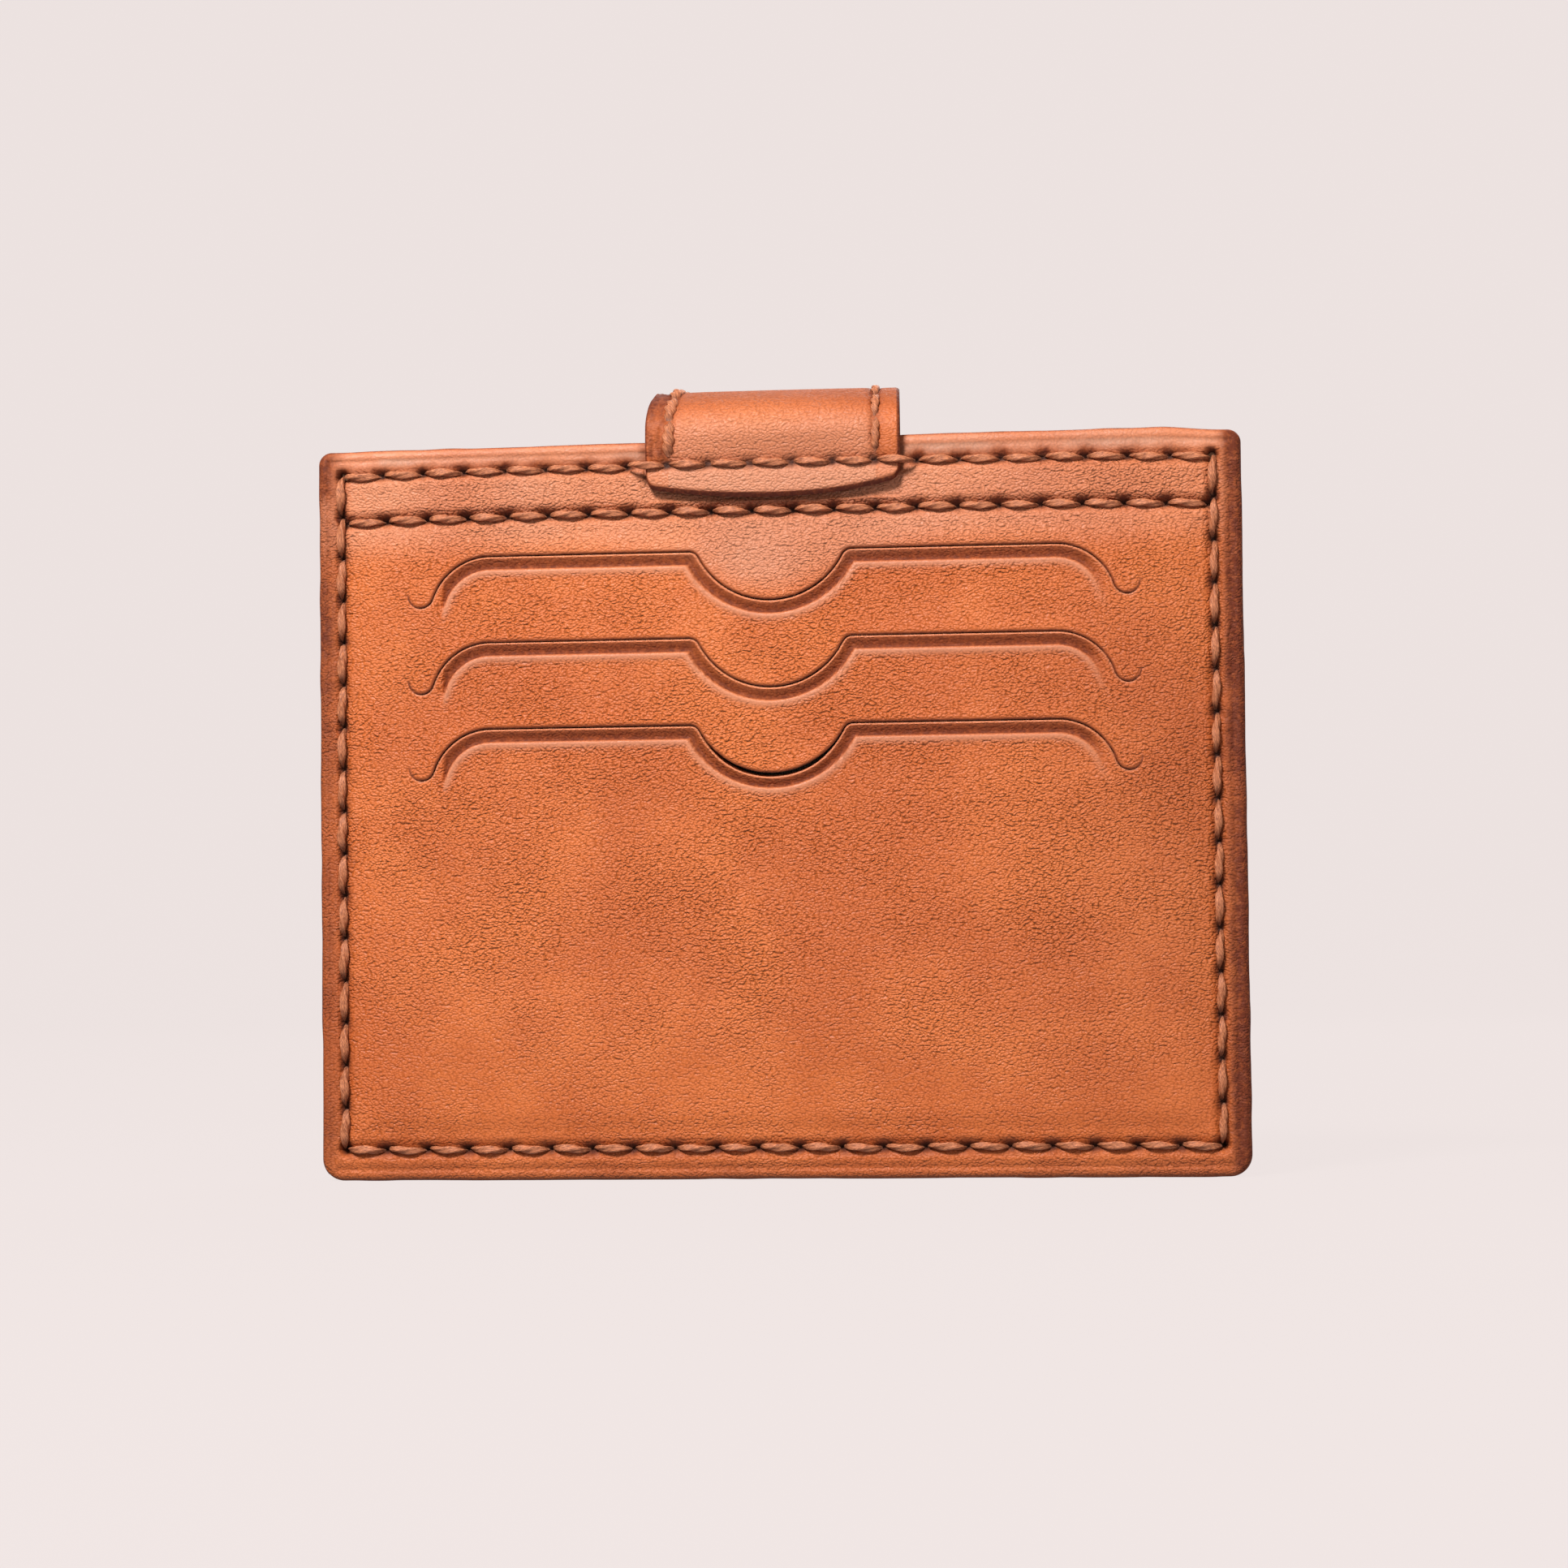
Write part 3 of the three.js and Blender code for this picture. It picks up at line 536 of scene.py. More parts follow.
def slot_relief(surface, distances, values):
    """Adds each slit's rolled lips, pressed band and ridge, with their colours: the band's dark
    dye deepened by painted shade towards its lower edge, painted shade along the slit's gap, and a
    painted highlight on the lower lip's edge and the ridge.
    """
    x = surface["x"]
    inside = fading(np.abs(x - SLOT_X), TIP_X - 1.6, TIP_X)
    ends = ramp(x, -40.7, -40.2) * fading(x, 37.0, 40.6)
    for plateau, d in zip(SLOT_HEIGHTS, distances):
        above = above_slit(surface, plateau)
        rounding = LIP_ROUNDING * np.clip(1.0 - d / LIP_WIDTH, 0.0, 1.0) ** 2 * inside
        slope = BAND_DEPTH * ramp(d, 0.15, 1.35) * fading(d, 1.48, 1.72)
        below_lip = ends * (slope - RIDGE_RISE * bell(d - RIDGE_AT, 0.45)) + rounding
        values["y"] += np.where(above, rounding - 0.16 * bell(d, 1.3) * inside, below_lip)

        pressed = ramp(d, 0.24, 0.34) * fading(d, 1.54, 1.66) * ends
        smooth = np.where(above, 0.8 * bell(d, 0.35),
                          0.65 * pressed + bell(d - RIDGE_AT, 0.4) * ends)
        raise_to(values, "calm", np.clip(smooth * inside + 0.6 * bell(d, 0.25), 0, 0.9))
        # The band's hot-pressed dye, with painted shade deepening it towards its lower edge.
        band_dye_and_shade = pressed * (0.64 + 0.26 * ramp(d, 0.6, 1.5))
        raise_to(values, "dye", np.where(above, 0.0, band_dye_and_shade))
        # Painted shade along the slit's gap, widest on the upper lip.
        slit_shade = np.where(above, 0.85 * fading(d, 0.05, 0.38), 0.4 * fading(d, 0.02, 0.12))
        raise_to(values, "dye", slit_shade)
        # Painted highlight on the lower lip's edge and on the ridge below the band.
        lip_and_ridge_highlight = 0.5 * fading(d, 0.1, 0.32) + 0.62 * bell(d - RIDGE_AT, 0.46) * ends
        raise_to(values, "dust", np.clip(lip_and_ridge_highlight, 0, 1) * inside * ~above)


# ---- Seams -----------------------------------------------------------------------------

class Seam:
    """A straight row of stitches in the plane of a panel, from one corner hole to another."""

    def __init__(self, start, end, sag=0.0, stain_up=0.0):
        self.start = np.array(start, float)
        run = np.array(end, float) - self.start
        self.sag = sag
        self.stain_up = stain_up
        self.length = float(np.hypot(*run))
        self.along = run / self.length
        self.across = np.array([-self.along[1], self.along[0]])
        self.count = max(1, round(self.length / STITCH))
        self.pitch = self.length / self.count

    def bow(self, u):
        """Sideways drift of the row: it droops a little towards its ends."""
        return -self.sag * np.abs(2.0 * u / self.length - 1.0) ** 5

    def coordinates(self, x, z):
        """Distance along the row and sideways from it."""
        dx, dz = x - self.start[0], z - self.start[1]
        u = dx * self.along[0] + dz * self.along[1]
        t = dx * self.across[0] + dz * self.across[1]
        return u, t - self.bow(np.clip(u, 0, self.length))

    def point(self, u):
        """The place (x, z) at a distance along the row."""
        return self.start + self.along * u + self.across * self.bow(u)

    def belly(self):
        """Thickness of the row's stitches; the upright rows are fuller, most of all the left."""
        if abs(self.along[1]) < 0.5:
            return 0.43
        return 0.49 if self.start[0] < 0 else 0.45


def front_seams():
    """The row round the four sides, top first, then the second row under the top one."""
    left, right = SEAM_LEFT, SEAM_RIGHT
    return [
        Seam((left, TOP_ROW), (right, TOP_ROW), sag=0.45, stain_up=0.35),
        Seam((left, SEAM_BOTTOM), (right, SEAM_BOTTOM)),
        Seam((left, SEAM_BOTTOM), (left, TOP_ROW)),
        Seam((right, SEAM_BOTTOM), (right, TOP_ROW)),
        Seam((left + 0.6, SECOND_ROW), (right - 0.6, SECOND_ROW), sag=0.5, stain_up=0.35),
    ]


def seam_relief(x, z, seams, values):
    """Presses the stitch rows into the leather, with a dent at each hole and puckers between; each
    hole is painted dark as shade, and the leather round the holes is stained.
    """
    outside = (x < SEAM_LEFT) | (x > SEAM_RIGHT) | (z < SEAM_BOTTOM) | (z > TOP_ROW)
    for seam in seams:
        u, t = seam.coordinates(x, z)
        within = ramp(u, -1.2, 0.2) * fading(u, seam.length - 0.2, seam.length + 1.2)
        phase = u / seam.pitch
        to_hole = (phase - np.round(phase)) * seam.pitch
        groove = ROW_GROOVE * bell(t, 0.75) + HOLE_DEPTH * bell(to_hole, 0.75) * bell(t, 0.50)
        drawn = 0.5 + 0.5 * np.cos(2 * math.pi * phase)
        bulge = -0.16 * bell(np.abs(t) - 1.25, 0.6) * (0.35 + 0.65 * drawn)
        bulge = bulge * np.where(outside, 0.3, 1.0)
        pucker = 0.07 * wander(u * 2.2, t, 1.6, 5) * bell(np.abs(t) - 1.3, 0.9)
        values["y"] += within * (groove + bulge + pucker)
        # Painted shade in each hole.
        hole = bell(to_hole, 0.85) * bell(t, 0.50) * within
        raise_to(values, "pit", np.clip(1.5 * hole - 0.25, 0, 1))
        ragged = 1.0 + 0.5 * wander(u * 1.3, t * 1.3, 0.8, 6)
        around_hole = 0.60 * bell(to_hole, 1.1) * bell(t - seam.stain_up, 0.95)
        stain = (0.46 * bell(t - seam.stain_up, 0.9) + around_hole) * ragged
        raise_to(values, "dye", np.clip(stain * within, 0, 1))


# ---- Leather panels --------------------------------------------------------------------

# Columns of a panel's sheet, as (end, step) runs outwards from its middle
EDGE_COLUMNS = ((HALF_WIDTH - ROLL - 1.5, 0.36), (HALF_WIDTH - ROLL - 0.6, 0.18),
                (HALF_WIDTH - ROLL, 0.075))
SLIT_COLUMNS = ((7.0, 0.38), (11.0, 0.26), (33.5, 0.62), (39.0, 0.34), (43.4, 0.2),
                (45.0, 0.1), (46.0, 0.22), (49.5, 0.5))
# Distances of the sheet's rows from a slit's plateau
BELOW_SLIT = (3.2, 2.7, 2.35, 2.1, 1.9, 1.76, 1.62, 1.5, 1.38, 1.2, 0.95, 0.72, 0.5, 0.34, 0.24,
              0.14, 0.06)
ABOVE_SLIT = (0.06, 0.14, 0.26, 0.45, 0.7, 1.0, 1.4, 1.9)


def edge_distance(x, z):
    """How far each point is inside the panel's outline."""
    return np.minimum.reduce([HALF_WIDTH - np.abs(x), z, HEIGHT - z])


def corner_rounded(x, z):
    """Moves points of the flat part of a panel so that its corners become round."""
    for side in (-1, 1):
        for radius, centre_z, up in ((BOTTOM_CORNER - ROLL, BOTTOM_CORNER, -1),
                                     (TOP_CORNER - ROLL, HEIGHT - TOP_CORNER, 1)):
            centre_x = side * (HALF_WIDTH - ROLL - radius)
            dx, dz = (x - centre_x) * side, (z - centre_z) * up
            inside = (dx > 0) & (dz > 0)
            reach = np.where(inside, np.hypot(dx, dz), 1.0)
            scale = np.where(inside, np.maximum(dx, dz) / np.maximum(reach, 1e-9), 1.0)
            x = np.where(inside, centre_x + side * dx * scale, x)
            z = np.where(inside, centre_z + up * dz * scale, z)
    return x, z


def rounded_grid(columns, rows, drop):
    """A panel's flat part as a grid of points, with drop added to its rows' heights."""
    grid_x = np.repeat(columns[None, :], len(rows), axis=0)
    return corner_rounded(grid_x, rows[:, None] + drop)


def panel_rows(with_slits):
    """Heights of the sheet's rows, close together at the slits, the seams and the edges."""
    low, high = ROLL, HEIGHT - ROLL
    start = spaced(low, (low + 0.6, 0.075), (low + 1.7, 0.18), (7.0, 0.36))
    if not with_slits:
        rest = spaced(7.0, (HEIGHT - 8.5, 0.8), (high - 0.6, 0.36), (high, 0.075))
        return np.concatenate([start, rest[1:]])
    rows = list(start)
    for plateau in SLOT_HEIGHTS:
        first = plateau - BELOW_SLIT[0] - 0.5
        rows.extend(spaced(rows[-1], (first, 0.62))[1:])
        rows.extend(plateau - offset for offset in BELOW_SLIT)
        rows.append(plateau)
        rows.extend(plateau + offset for offset in ABOVE_SLIT)
    rows.extend(spaced(rows[-1], (79.2, 0.3), (high - 0.6, 0.34), (high, 0.075))[1:])
    return np.array(rows)


def front_surface():
    """The front leather's outer surface, as one open sheet with three slits in it."""
    columns = mirrored(spaced(0.0, *SLIT_COLUMNS, *EDGE_COLUMNS))
    rows = panel_rows(True)
    follow = ramp(rows, 32.0, 50.0) * fading(rows, 76.6, 79.6)
    x, z = rounded_grid(columns, rows, follow[:, None] * slit_drop(columns)[None, :])
    index = np.arange(x.size).reshape(x.shape)
    level = np.repeat(rows[:, None], len(columns), axis=1).ravel()
    x, z = x.ravel(), z.ravel()
    cut = np.abs(columns - SLOT_X) < TIP_X
    upper_lip, doubled = {}, []
    for plateau in SLOT_HEIGHTS:
        row = int(np.argmin(np.abs(rows - plateau)))
        upper_lip[row] = index[row].copy()
        upper_lip[row][cut] = x.size + len(doubled) + np.arange(cut.sum())
        doubled.extend(index[row][cut])
    faces = [grid_faces(np.stack([upper_lip.get(row, index[row]), index[row + 1]]))
             for row in range(len(rows) - 1)]
    everyone = np.concatenate([np.arange(x.size), doubled])
    upper = np.arange(everyone.size) >= x.size
    return {"x": x[everyone], "z": z[everyone], "upper": upper, "level": level[everyone],
            "index": index, "faces": faces}


def back_surface():
    """The back leather's outer surface, without slits."""
    columns = mirrored(spaced(0.0, (48.5, 0.9), *EDGE_COLUMNS))
    x, z = rounded_grid(columns, panel_rows(False), np.zeros((1, len(columns))))
    index = np.arange(x.size).reshape(x.shape)
    return {"x": x.ravel(), "z": z.ravel(), "index": index, "faces": [grid_faces(index)]}


def open_slits(surface, distances):
    """Parts the two lips of each slit; the gap closes towards the hooks' tips."""
    x, z = surface["x"], surface["z"]
    a = np.abs(x - SLOT_X)
    dx = 0.02
    slope = (slit_drop(x + dx) - slit_drop(x - dx)) / (2 * dx)
    size = np.sqrt(1.0 + slope * slope)
    moved_x, moved_z = x.copy(), z.copy()
    for plateau, d, gap, notch_gap in zip(SLOT_HEIGHTS, distances, PLATEAU_GAPS, NOTCH_GAPS):
        width = gap + (notch_gap - gap) * fading(a, 4.0, 9.5)
        width = width * fading(a, 38.0, TIP_X) + TIP_GAP
        width = width * fading(a, TIP_X - 0.05, TIP_X) * fading(d, 0.0, 2.0)
        share = np.where(above_slit(surface, plateau), 0.35, -0.65)
        moved_x -= share * width * slope / size
        moved_z += share * width / size
    return moved_x, moved_z


def pillow(x, z, top_row):
    """The panel's gentle fullness between its seams and along its margins."""
    inner = np.minimum.reduce([x - SEAM_LEFT, SEAM_RIGHT - x, z - SEAM_BOTTOM, top_row - z])
    body = -0.45 * ramp(inner, 0.3, 4.5) - 0.45 * ramp(inner, 0.5, 17.0)
    edge = edge_distance(x, z)
    margin = 0.30 * fading(edge, 0.9, 2.4) * (inner < 0)
    drift = 0.10 * wander(x, z, 21.0, 3) + 0.05 * wander(x, z, 8.0, 4)
    return body + margin + drift * ramp(edge, 1.0, 6.0)


def top_bulge(x, z):
    """The top edge isn't ruled straight: it stands up a little, most of all on the right."""
    rise = (0.32 + 0.0050 * x) * fading(np.abs(x), 46.0, 54.0)
    return rise * ramp(z, 86.4, 88.4)


def margin_dye_and_shade(x, z):
    """How dark the panel's margins are: edge dye darkens them unevenly, with painted shade added
    on the right margin and a broad darkening over the right side.
    """
    left = (0.46 + 0.26 * ramp(z, 20.0, 72.0)) * fading(x + HALF_WIDTH, 0.6, 4.6)
    # The right margin is darker than the left: edge dye plus painted shade of its rounded edge.
    right = 0.92 * fading(HALF_WIDTH - x, 0.6, 3.6)
    bottom = 0.34 * fading(z, 0.2, 3.6)
    top = 0.80 * fading(HEIGHT - z, 0.2, 1.1)
    blotch = 1.0 + 0.45 * wander(x, z, 5.0, 31) + 0.2 * wander(x, z, 1.7, 32)
    # Darker towards the middle of the right side.
    right_darkening = 0.26 * bell(x - HALF_WIDTH, 21.0) * bell(z - 42.0, 34.0)
    return np.clip(np.maximum.reduce([left, right, bottom, top]) * blotch + right_darkening, 0.0, 1.0)


def strap_bed(x, z, values):
    """The roll between the two top rows, the place where the strap is sewn on, and painted shade
    on the panel along the strap's sides.
    """
    between = 1.0 - np.abs(z - (TOP_ROW + SECOND_ROW) / 2) / ((TOP_ROW - SECOND_ROW) / 2)
    along = ramp(x - SEAM_LEFT, 0.5, 4.0) * ramp(SEAM_RIGHT - x, 0.5, 4.0)
    values["y"] -= 0.26 * np.sqrt(np.clip(between, 0, 1)) * along
    values["y"] += 0.30 * ((np.abs(x) < STRAP_HALF + 0.6) & (z > TONGUE_LOW - 0.3))
    # Painted shade on the panel beside the strap's edges.
    strap_edge_shade = 0.7 * bell(np.abs(x) - STRAP_HALF - 0.2, 0.5)
    raise_to(values, "dye", strap_edge_shade * ramp(z, TONGUE_SIDE - 0.5, TONGUE_SIDE))


def panel_sheen_and_calm(x, z, values, seed):
    """Painted sheen on the upper part and the top margin, and the smoother margins."""
    # Painted sheen on the top margin, where it turns up towards the light.
    sheen = fading(HEIGHT - z, 1.7, 2.7) * ramp(HEIGHT - z, 0.6, 1.3)
    sheen = sheen * (0.85 + 0.3 * wander(x, z * 0.5, 5.0, seed)) * ramp(x + HALF_WIDTH, 2.0, 9.0)
    # Painted sheen over the upper field, brightest just below the second row.
    upper_sheen = 0.54 * ramp(z + 5.5 * bell(x - SLOT_X, 11.0), 74.0, 79.0)
    upper_sheen = upper_sheen * (1.0 - 0.4 * ramp(x, 8.0, 45.0)) * (1.0 + 0.3 * wander(x, z, 9.0, seed + 1))
    raise_to(values, "dust", np.maximum(np.clip(sheen, 0, 1), upper_sheen))
    margin = fading(edge_distance(x, z), 2.0, 3.2) * (0.40 + 0.40 * (z > TOP_ROW))
    low_field = 0.45 * fading(z - 0.14 * np.abs(x - 8.0), 6.0, 24.0)
    raise_to(values, "calm", np.maximum(margin, low_field))


def turned_edge(sheet, loop, depth):
    """Rings that carry a sheet's outline round the turned edge and back to a depth."""
    x, z, y = (sheet[key][loop] for key in ("x", "z", "y"))
    ahead_x, ahead_z = (np.roll(v, -1) - np.roll(v, 1) for v in (x, z))
    size = np.hypot(ahead_x, ahead_z)
    out_x, out_z = ahead_z / size, -ahead_x / size
    around = np.concatenate([[0.0], np.cumsum(np.hypot(np.diff(x), np.diff(z)))])
    quarter = math.pi / 2
    rings = [(ROLL * math.sin(turn), y * (1.0 - turn / quarter) + ROLL * (1.0 - math.cos(turn)),
              ROLL * turn) for turn in np.linspace(0.0, quarter, 8)[1:]]
    rings += [(ROLL, np.full(len(x), deep), ROLL * quarter + deep - ROLL)
              for deep in np.linspace(ROLL, depth, max(2, round((depth - ROLL) / 0.7)) + 1)[1:]]
    layers = []
    for out, ring_y, travelled in rings:
        ripple = 0.06 * wander(around, np.full_like(around, travelled), 3.2, 21)
        reach = out + ripple * ramp(travelled, 0.3, 1.5)
        deeper = ramp(travelled, 0.7, 1.35)
        layers.append({
            "x": x + out_x * reach, "z": z + out_z * reach, "y": ring_y,
            "u": x + out_x * travelled, "v": z + out_z * travelled,
            "dye": np.clip(sheet["dye"][loop] * (1 - deeper) + deeper * EDGE_DYE, 0, 1),
            "dust": sheet["dust"][loop] * (1 - deeper),
            "pit": np.zeros(len(loop)), "calm": sheet["calm"][loop],
        })
    return layers


def panel_values(surface, distances, seams, seed):
    """How far each point lies back from the outer face, with its colour fields."""
    x, z = surface["x"], surface["z"]
    values = {key: np.zeros(x.size) for key in ("y", *SURFACE_FIELDS)}
    values["dye"] = margin_dye_and_shade(x, z)
    values["y"] += pillow(x, z, SECOND_ROW if distances else TOP_ROW)
    if distances:
        strap_bed(x, z, values)
        slot_relief(surface, distances, values)
    seam_relief(x, z, seams, values)
    panel_sheen_and_calm(x, z, values, seed)
    values["y"] = values["y"] * ramp(edge_distance(x, z) - ROLL, -0.4, 0.5)
    return values


def panel_piece(name, surface, slots, seams, depth, back_y, seed):
    """A leather panel with its turned edge. back_y is None for the panel that faces front."""
    distances = [slit_distance(surface["x"], surface["z"], plateau) for plateau in slots]
    sheet = {"x": surface["x"], "z": surface["z"], "u": surface["x"], "v": surface["z"],
             **panel_values(surface, distances, seams, seed)}
    index = surface["index"]
    loop = np.concatenate([index[0, :-1], index[:-1, -1], index[-1, :0:-1], index[:0:-1, 0]])
    rings = turned_edge(sheet, loop, depth)
    if distances:
        sheet["x"], sheet["z"] = open_slits(surface, distances)
    numbers = len(sheet["x"]) + np.arange(len(rings) * len(loop)).reshape(len(rings), -1)
    table = np.concatenate([loop[None, :], numbers])
    table = np.concatenate([table, table[:, :1]], axis=1)
    edges = [grid_faces(table[[i + 1, i]]) for i in range(len(rings))]
    faces = np.concatenate(surface["faces"] + edges)

    whole = {key: np.concatenate([part[key] for part in (sheet, *rings)]) for key in sheet}
    height = whole["z"] + top_bulge(whole["x"], whole["z"])
    y = whole["y"]
    if back_y is not None:
        y = back_y - y
        faces = faces[:, ::-1]
    fields = {key: whole[key] for key in SURFACE_FIELDS}
    piece = make_piece(name, np.stack([whole["x"], y, height], axis=1), faces, fields,
                       np.stack([whole["u"], whole["v"]], axis=1))
    return thicken(piece, LEATHER)


# ---- Thread ----------------------------------------------------------------------------

def strand(points, radii, ups, turns, t, random):
    """One stitch as a twisted strand: a lobed section that turns as it goes.

    t runs from 0 to 1 along the stitch, which is painted dark as shade where it dives into its
    holes. The result is vertices, faces, uv and that painted shade.
    """
    tangent = np.gradient(points, axis=0)
    tangent /= np.linalg.norm(tangent, axis=1)[:, None]
    side = np.cross(tangent, ups)
    side /= np.linalg.norm(side, axis=1)[:, None]
    up = np.cross(side, tangent)
    count = len(radii)
    angles = np.linspace(0.0, 2 * math.pi, ROPE_SIDES, endpoint=False)
    twist = random.uniform(0, 2) + turns * 2 * math.pi * np.arange(count) / (count - 1)
    turned = angles[None, :] - twist[:, None]
    reach = radii[:, None] * (1.0 + LOBE_DEPTH * np.cos(ROPE_LOBES * turned))
    section = (side[:, None, :] * np.cos(angles)[None, :, None]
               + ROPE_FLATTENING * up[:, None, :] * np.sin(angles)[None, :, None])
    vertices = (points[:, None, :] + section * reach[:, :, None]).reshape(-1, 3)
    index = np.arange(count * ROPE_SIDES).reshape(count, ROPE_SIDES)
    faces = grid_faces(np.concatenate([index, index[:, :1]], axis=1)).tolist()
    faces += [index[0].tolist(), index[-1][::-1].tolist()]
    steps = np.linalg.norm(np.diff(points, axis=0), axis=1)
    travelled = np.concatenate([[0], np.cumsum(steps)])
    uv = np.stack([np.repeat(travelled, ROPE_SIDES), (turned * radii[:, None]).ravel()], axis=1)
    # Painted shade towards both ends, where the stitch dives into its holes.
    pit = np.repeat(np.abs(2 * t - 1) ** 4, ROPE_SIDES)
    return vertices, faces, uv + random.uniform(0, 40, 2), pit


def join_strands(name, strands):
    """One mesh from many strands."""
    faces = []
    total = 0
    for vertices, polygons, _, _ in strands:
        faces.extend([[corner + total for corner in face] for face in polygons])
        total += len(vertices)
    points, uv, pit = (np.concatenate([parts[i] for parts in strands]) for i in (0, 2, 3))
    return make_piece(name, points, faces, {"pit": pit}, uv)


def stitch(start, end, outward, belly, random):
    """One stitch: a spindle of twisted thread that dives into a hole at each end."""
    start, end, outward = (np.array(v, float) for v in (start, end, outward))
    run = end - start
    side = np.cross(run / np.linalg.norm(run), outward)
    t = np.linspace(0.0, 1.0, 15)
    hump = np.sin(math.pi * t)
    lean = random.uniform(0.10, 0.24)
    bend = random.uniform(-0.08, 0.08)
    sideways = lean * (t - 0.5) * 2 * 0.7 + bend * hump
    lift = STITCH_HEIGHT * hump ** 0.7 - 0.95 * (np.abs(2 * t - 1) ** 5)
    points = (start[None, :] + run[None, :] * t[:, None] + outward[None, :] * lift[:, None]
              + side[None, :] * sideways[:, None])
    radii = belly * random.uniform(0.92, 1.06) * (0.26 + 0.74 * hump ** 0.7)
    ups = np.repeat(outward[None, :], len(t), axis=0)
    return strand(points, radii, ups, random.uniform(0.42, 0.60), t, random)


def seam_stitches(seam, outer_y, facing, random, lift=0.0):
    """The stitches of one row; where it crosses the strap they stand proud by lift."""
    made = []
    inset = 0.045 * seam.pitch
    for i in range(seam.count):
        a, b = seam.point(i * seam.pitch + inset), seam.point((i + 1) * seam.pitch - inset)
        on_strap = abs(a[0] + b[0]) / 2 < STRAP_HALF + 0.4
        y = outer_y + facing * (lift if on_strap else 0.0)
        made.append(stitch((a[0], y, a[1]), (b[0], y, b[1]), (0.0, facing, 0.0),
                           seam.belly(), random))
    return made


# ---- Strap -----------------------------------------------------------------------------

def arch_point(angle):
    """A point (y, z) on the outer surface of the strap's arch."""
    return ARCH_CENTRE - ARCH_DEPTH * np.cos(angle), ARCH_FOOT + ARCH_RISE * np.sin(angle)


def arch_table():
    """Arc length against angle along the arch's outer surface."""
    angles = np.linspace(0.0, math.pi, 721)
    y, z = arch_point(angles)
    return angles, np.concatenate([[0.0], np.cumsum(np.hypot(np.diff(y), np.diff(z)))])


ARCH_ANGLES, ARCH_LENGTHS = arch_table()
ARCH_LENGTH = ARCH_LENGTHS[-1]


def strap_frame(s):
    """Point and outward normal (y, z) of the strap's outer surface.

    s is measured along the strap: 0 at the arch's front foot, negative down the tongue.
    """
    s = np.asarray(s, float)
    angle = np.interp(s, ARCH_LENGTHS, ARCH_ANGLES)
    y, z = arch_point(angle)
    ny, nz = -np.cos(angle) / ARCH_DEPTH, np.sin(angle) / ARCH_RISE
    size = np.hypot(ny, nz)
    z = np.where(s < 0, ARCH_FOOT + s, np.where(s > ARCH_LENGTH, ARCH_FOOT + ARCH_LENGTH - s, z))
    return y, z, ny / size, nz / size


SPLIT_S = float(np.interp(math.radians(120), ARCH_ANGLES, ARCH_LENGTHS))


def half_width(s):
    """The strap narrows over its arch, from its sewn root to its tail."""
    y, _ = arch_point(np.interp(s, ARCH_LENGTHS, ARCH_ANGLES))
    front, rear = BRIDGE_LOW.y, BRIDGE_HIGH.y
    share = np.clip((y - front) / (rear - front), 0.0, 1.0)
    return STRAP_HALF + (TAIL_HALF - STRAP_HALF) * share


def tongue_end(share):
    """Height of the tongue's lower edge across the strap, share from -1 to 1."""
    a = np.abs(share)
    rise = np.where(share < 0, 1.3, 1.9)
    corner_rise = np.where(share < 0, 1.9, 1.3)
    corner = np.clip((a - 0.93) / 0.07, 0.0, 1.0)
    return TONGUE_LOW + rise * a ** 2.2 + corner_rise * (1.0 - np.sqrt(1.0 - corner ** 2))


def tail_end(share):
    """Height of the tail's lower edge across the strap."""
    x = np.abs(share) * TAIL_HALF
    over = np.clip(x - (TAIL_HALF - TAIL_CORNER), 0.0, TAIL_CORNER)
    return TAIL_LOW.z + TAIL_CORNER - np.sqrt(TAIL_CORNER ** 2 - over ** 2)


def strap_shares():
    """Positions across the strap, from -1 to 1, close together at the edges and the seams."""
    seam = STRAP_HALF - STRAP_SEAM_INSET
    half = spaced(0.0, (seam - 2.0, 0.8), (STRAP_HALF - 0.6, 0.2), (STRAP_HALF, 0.08))
    return mirrored(half / STRAP_HALF)


def strap_sheet(name, first, last, offset, relief, inset=0.0):
    """A sheet that follows the strap.

    It starts at "tongue", "split" or a length along the strap, and ends at "split" or "tail".
    """
    share = strap_shares()
    low_s, high_s = np.full_like(share, SPLIT_S), np.full_like(share, SPLIT_S)
    if first == "tongue":
        low_s = tongue_end(share) - ARCH_FOOT
    elif first != "split":
        low_s = np.full_like(share, first)
    if last == "tail":
        high_s = ARCH_LENGTH + ARCH_FOOT - tail_end(share) - inset
    steps = np.linspace(0.0, 1.0, round(float(np.max(high_s - low_s)) / STRAP_STEP) + 1)
    ends = np.array([0.0, 0.0035, 0.008, 0.013, 0.018, 0.024])
    inner = steps[(steps > 0.03) & (steps < 0.97)]
    fine = np.concatenate([ends, inner, 1.0 - ends[::-1]])
    s = low_s[None, :] + (high_s - low_s)[None, :] * fine[:, None]
    share = np.repeat(share[None, :], len(fine), axis=0)
    y, z, ny, nz = strap_frame(s)
    x = share * (half_width(s) - inset)
    to_side = (1 - np.abs(share)) * STRAP_HALF
    to_end = np.full_like(s, 99.0)
    if first == "tongue":
        to_end = s - low_s[None, :]
    if last == "tail":
        to_end = high_s[None, :] - s
    fields = {key: np.zeros_like(s) for key in SURFACE_FIELDS}
    out = offset + relief(x, s, to_side, to_end, fields)
    return grid_piece(name, x, y + ny * out, z + nz * out, (x, s), fields)


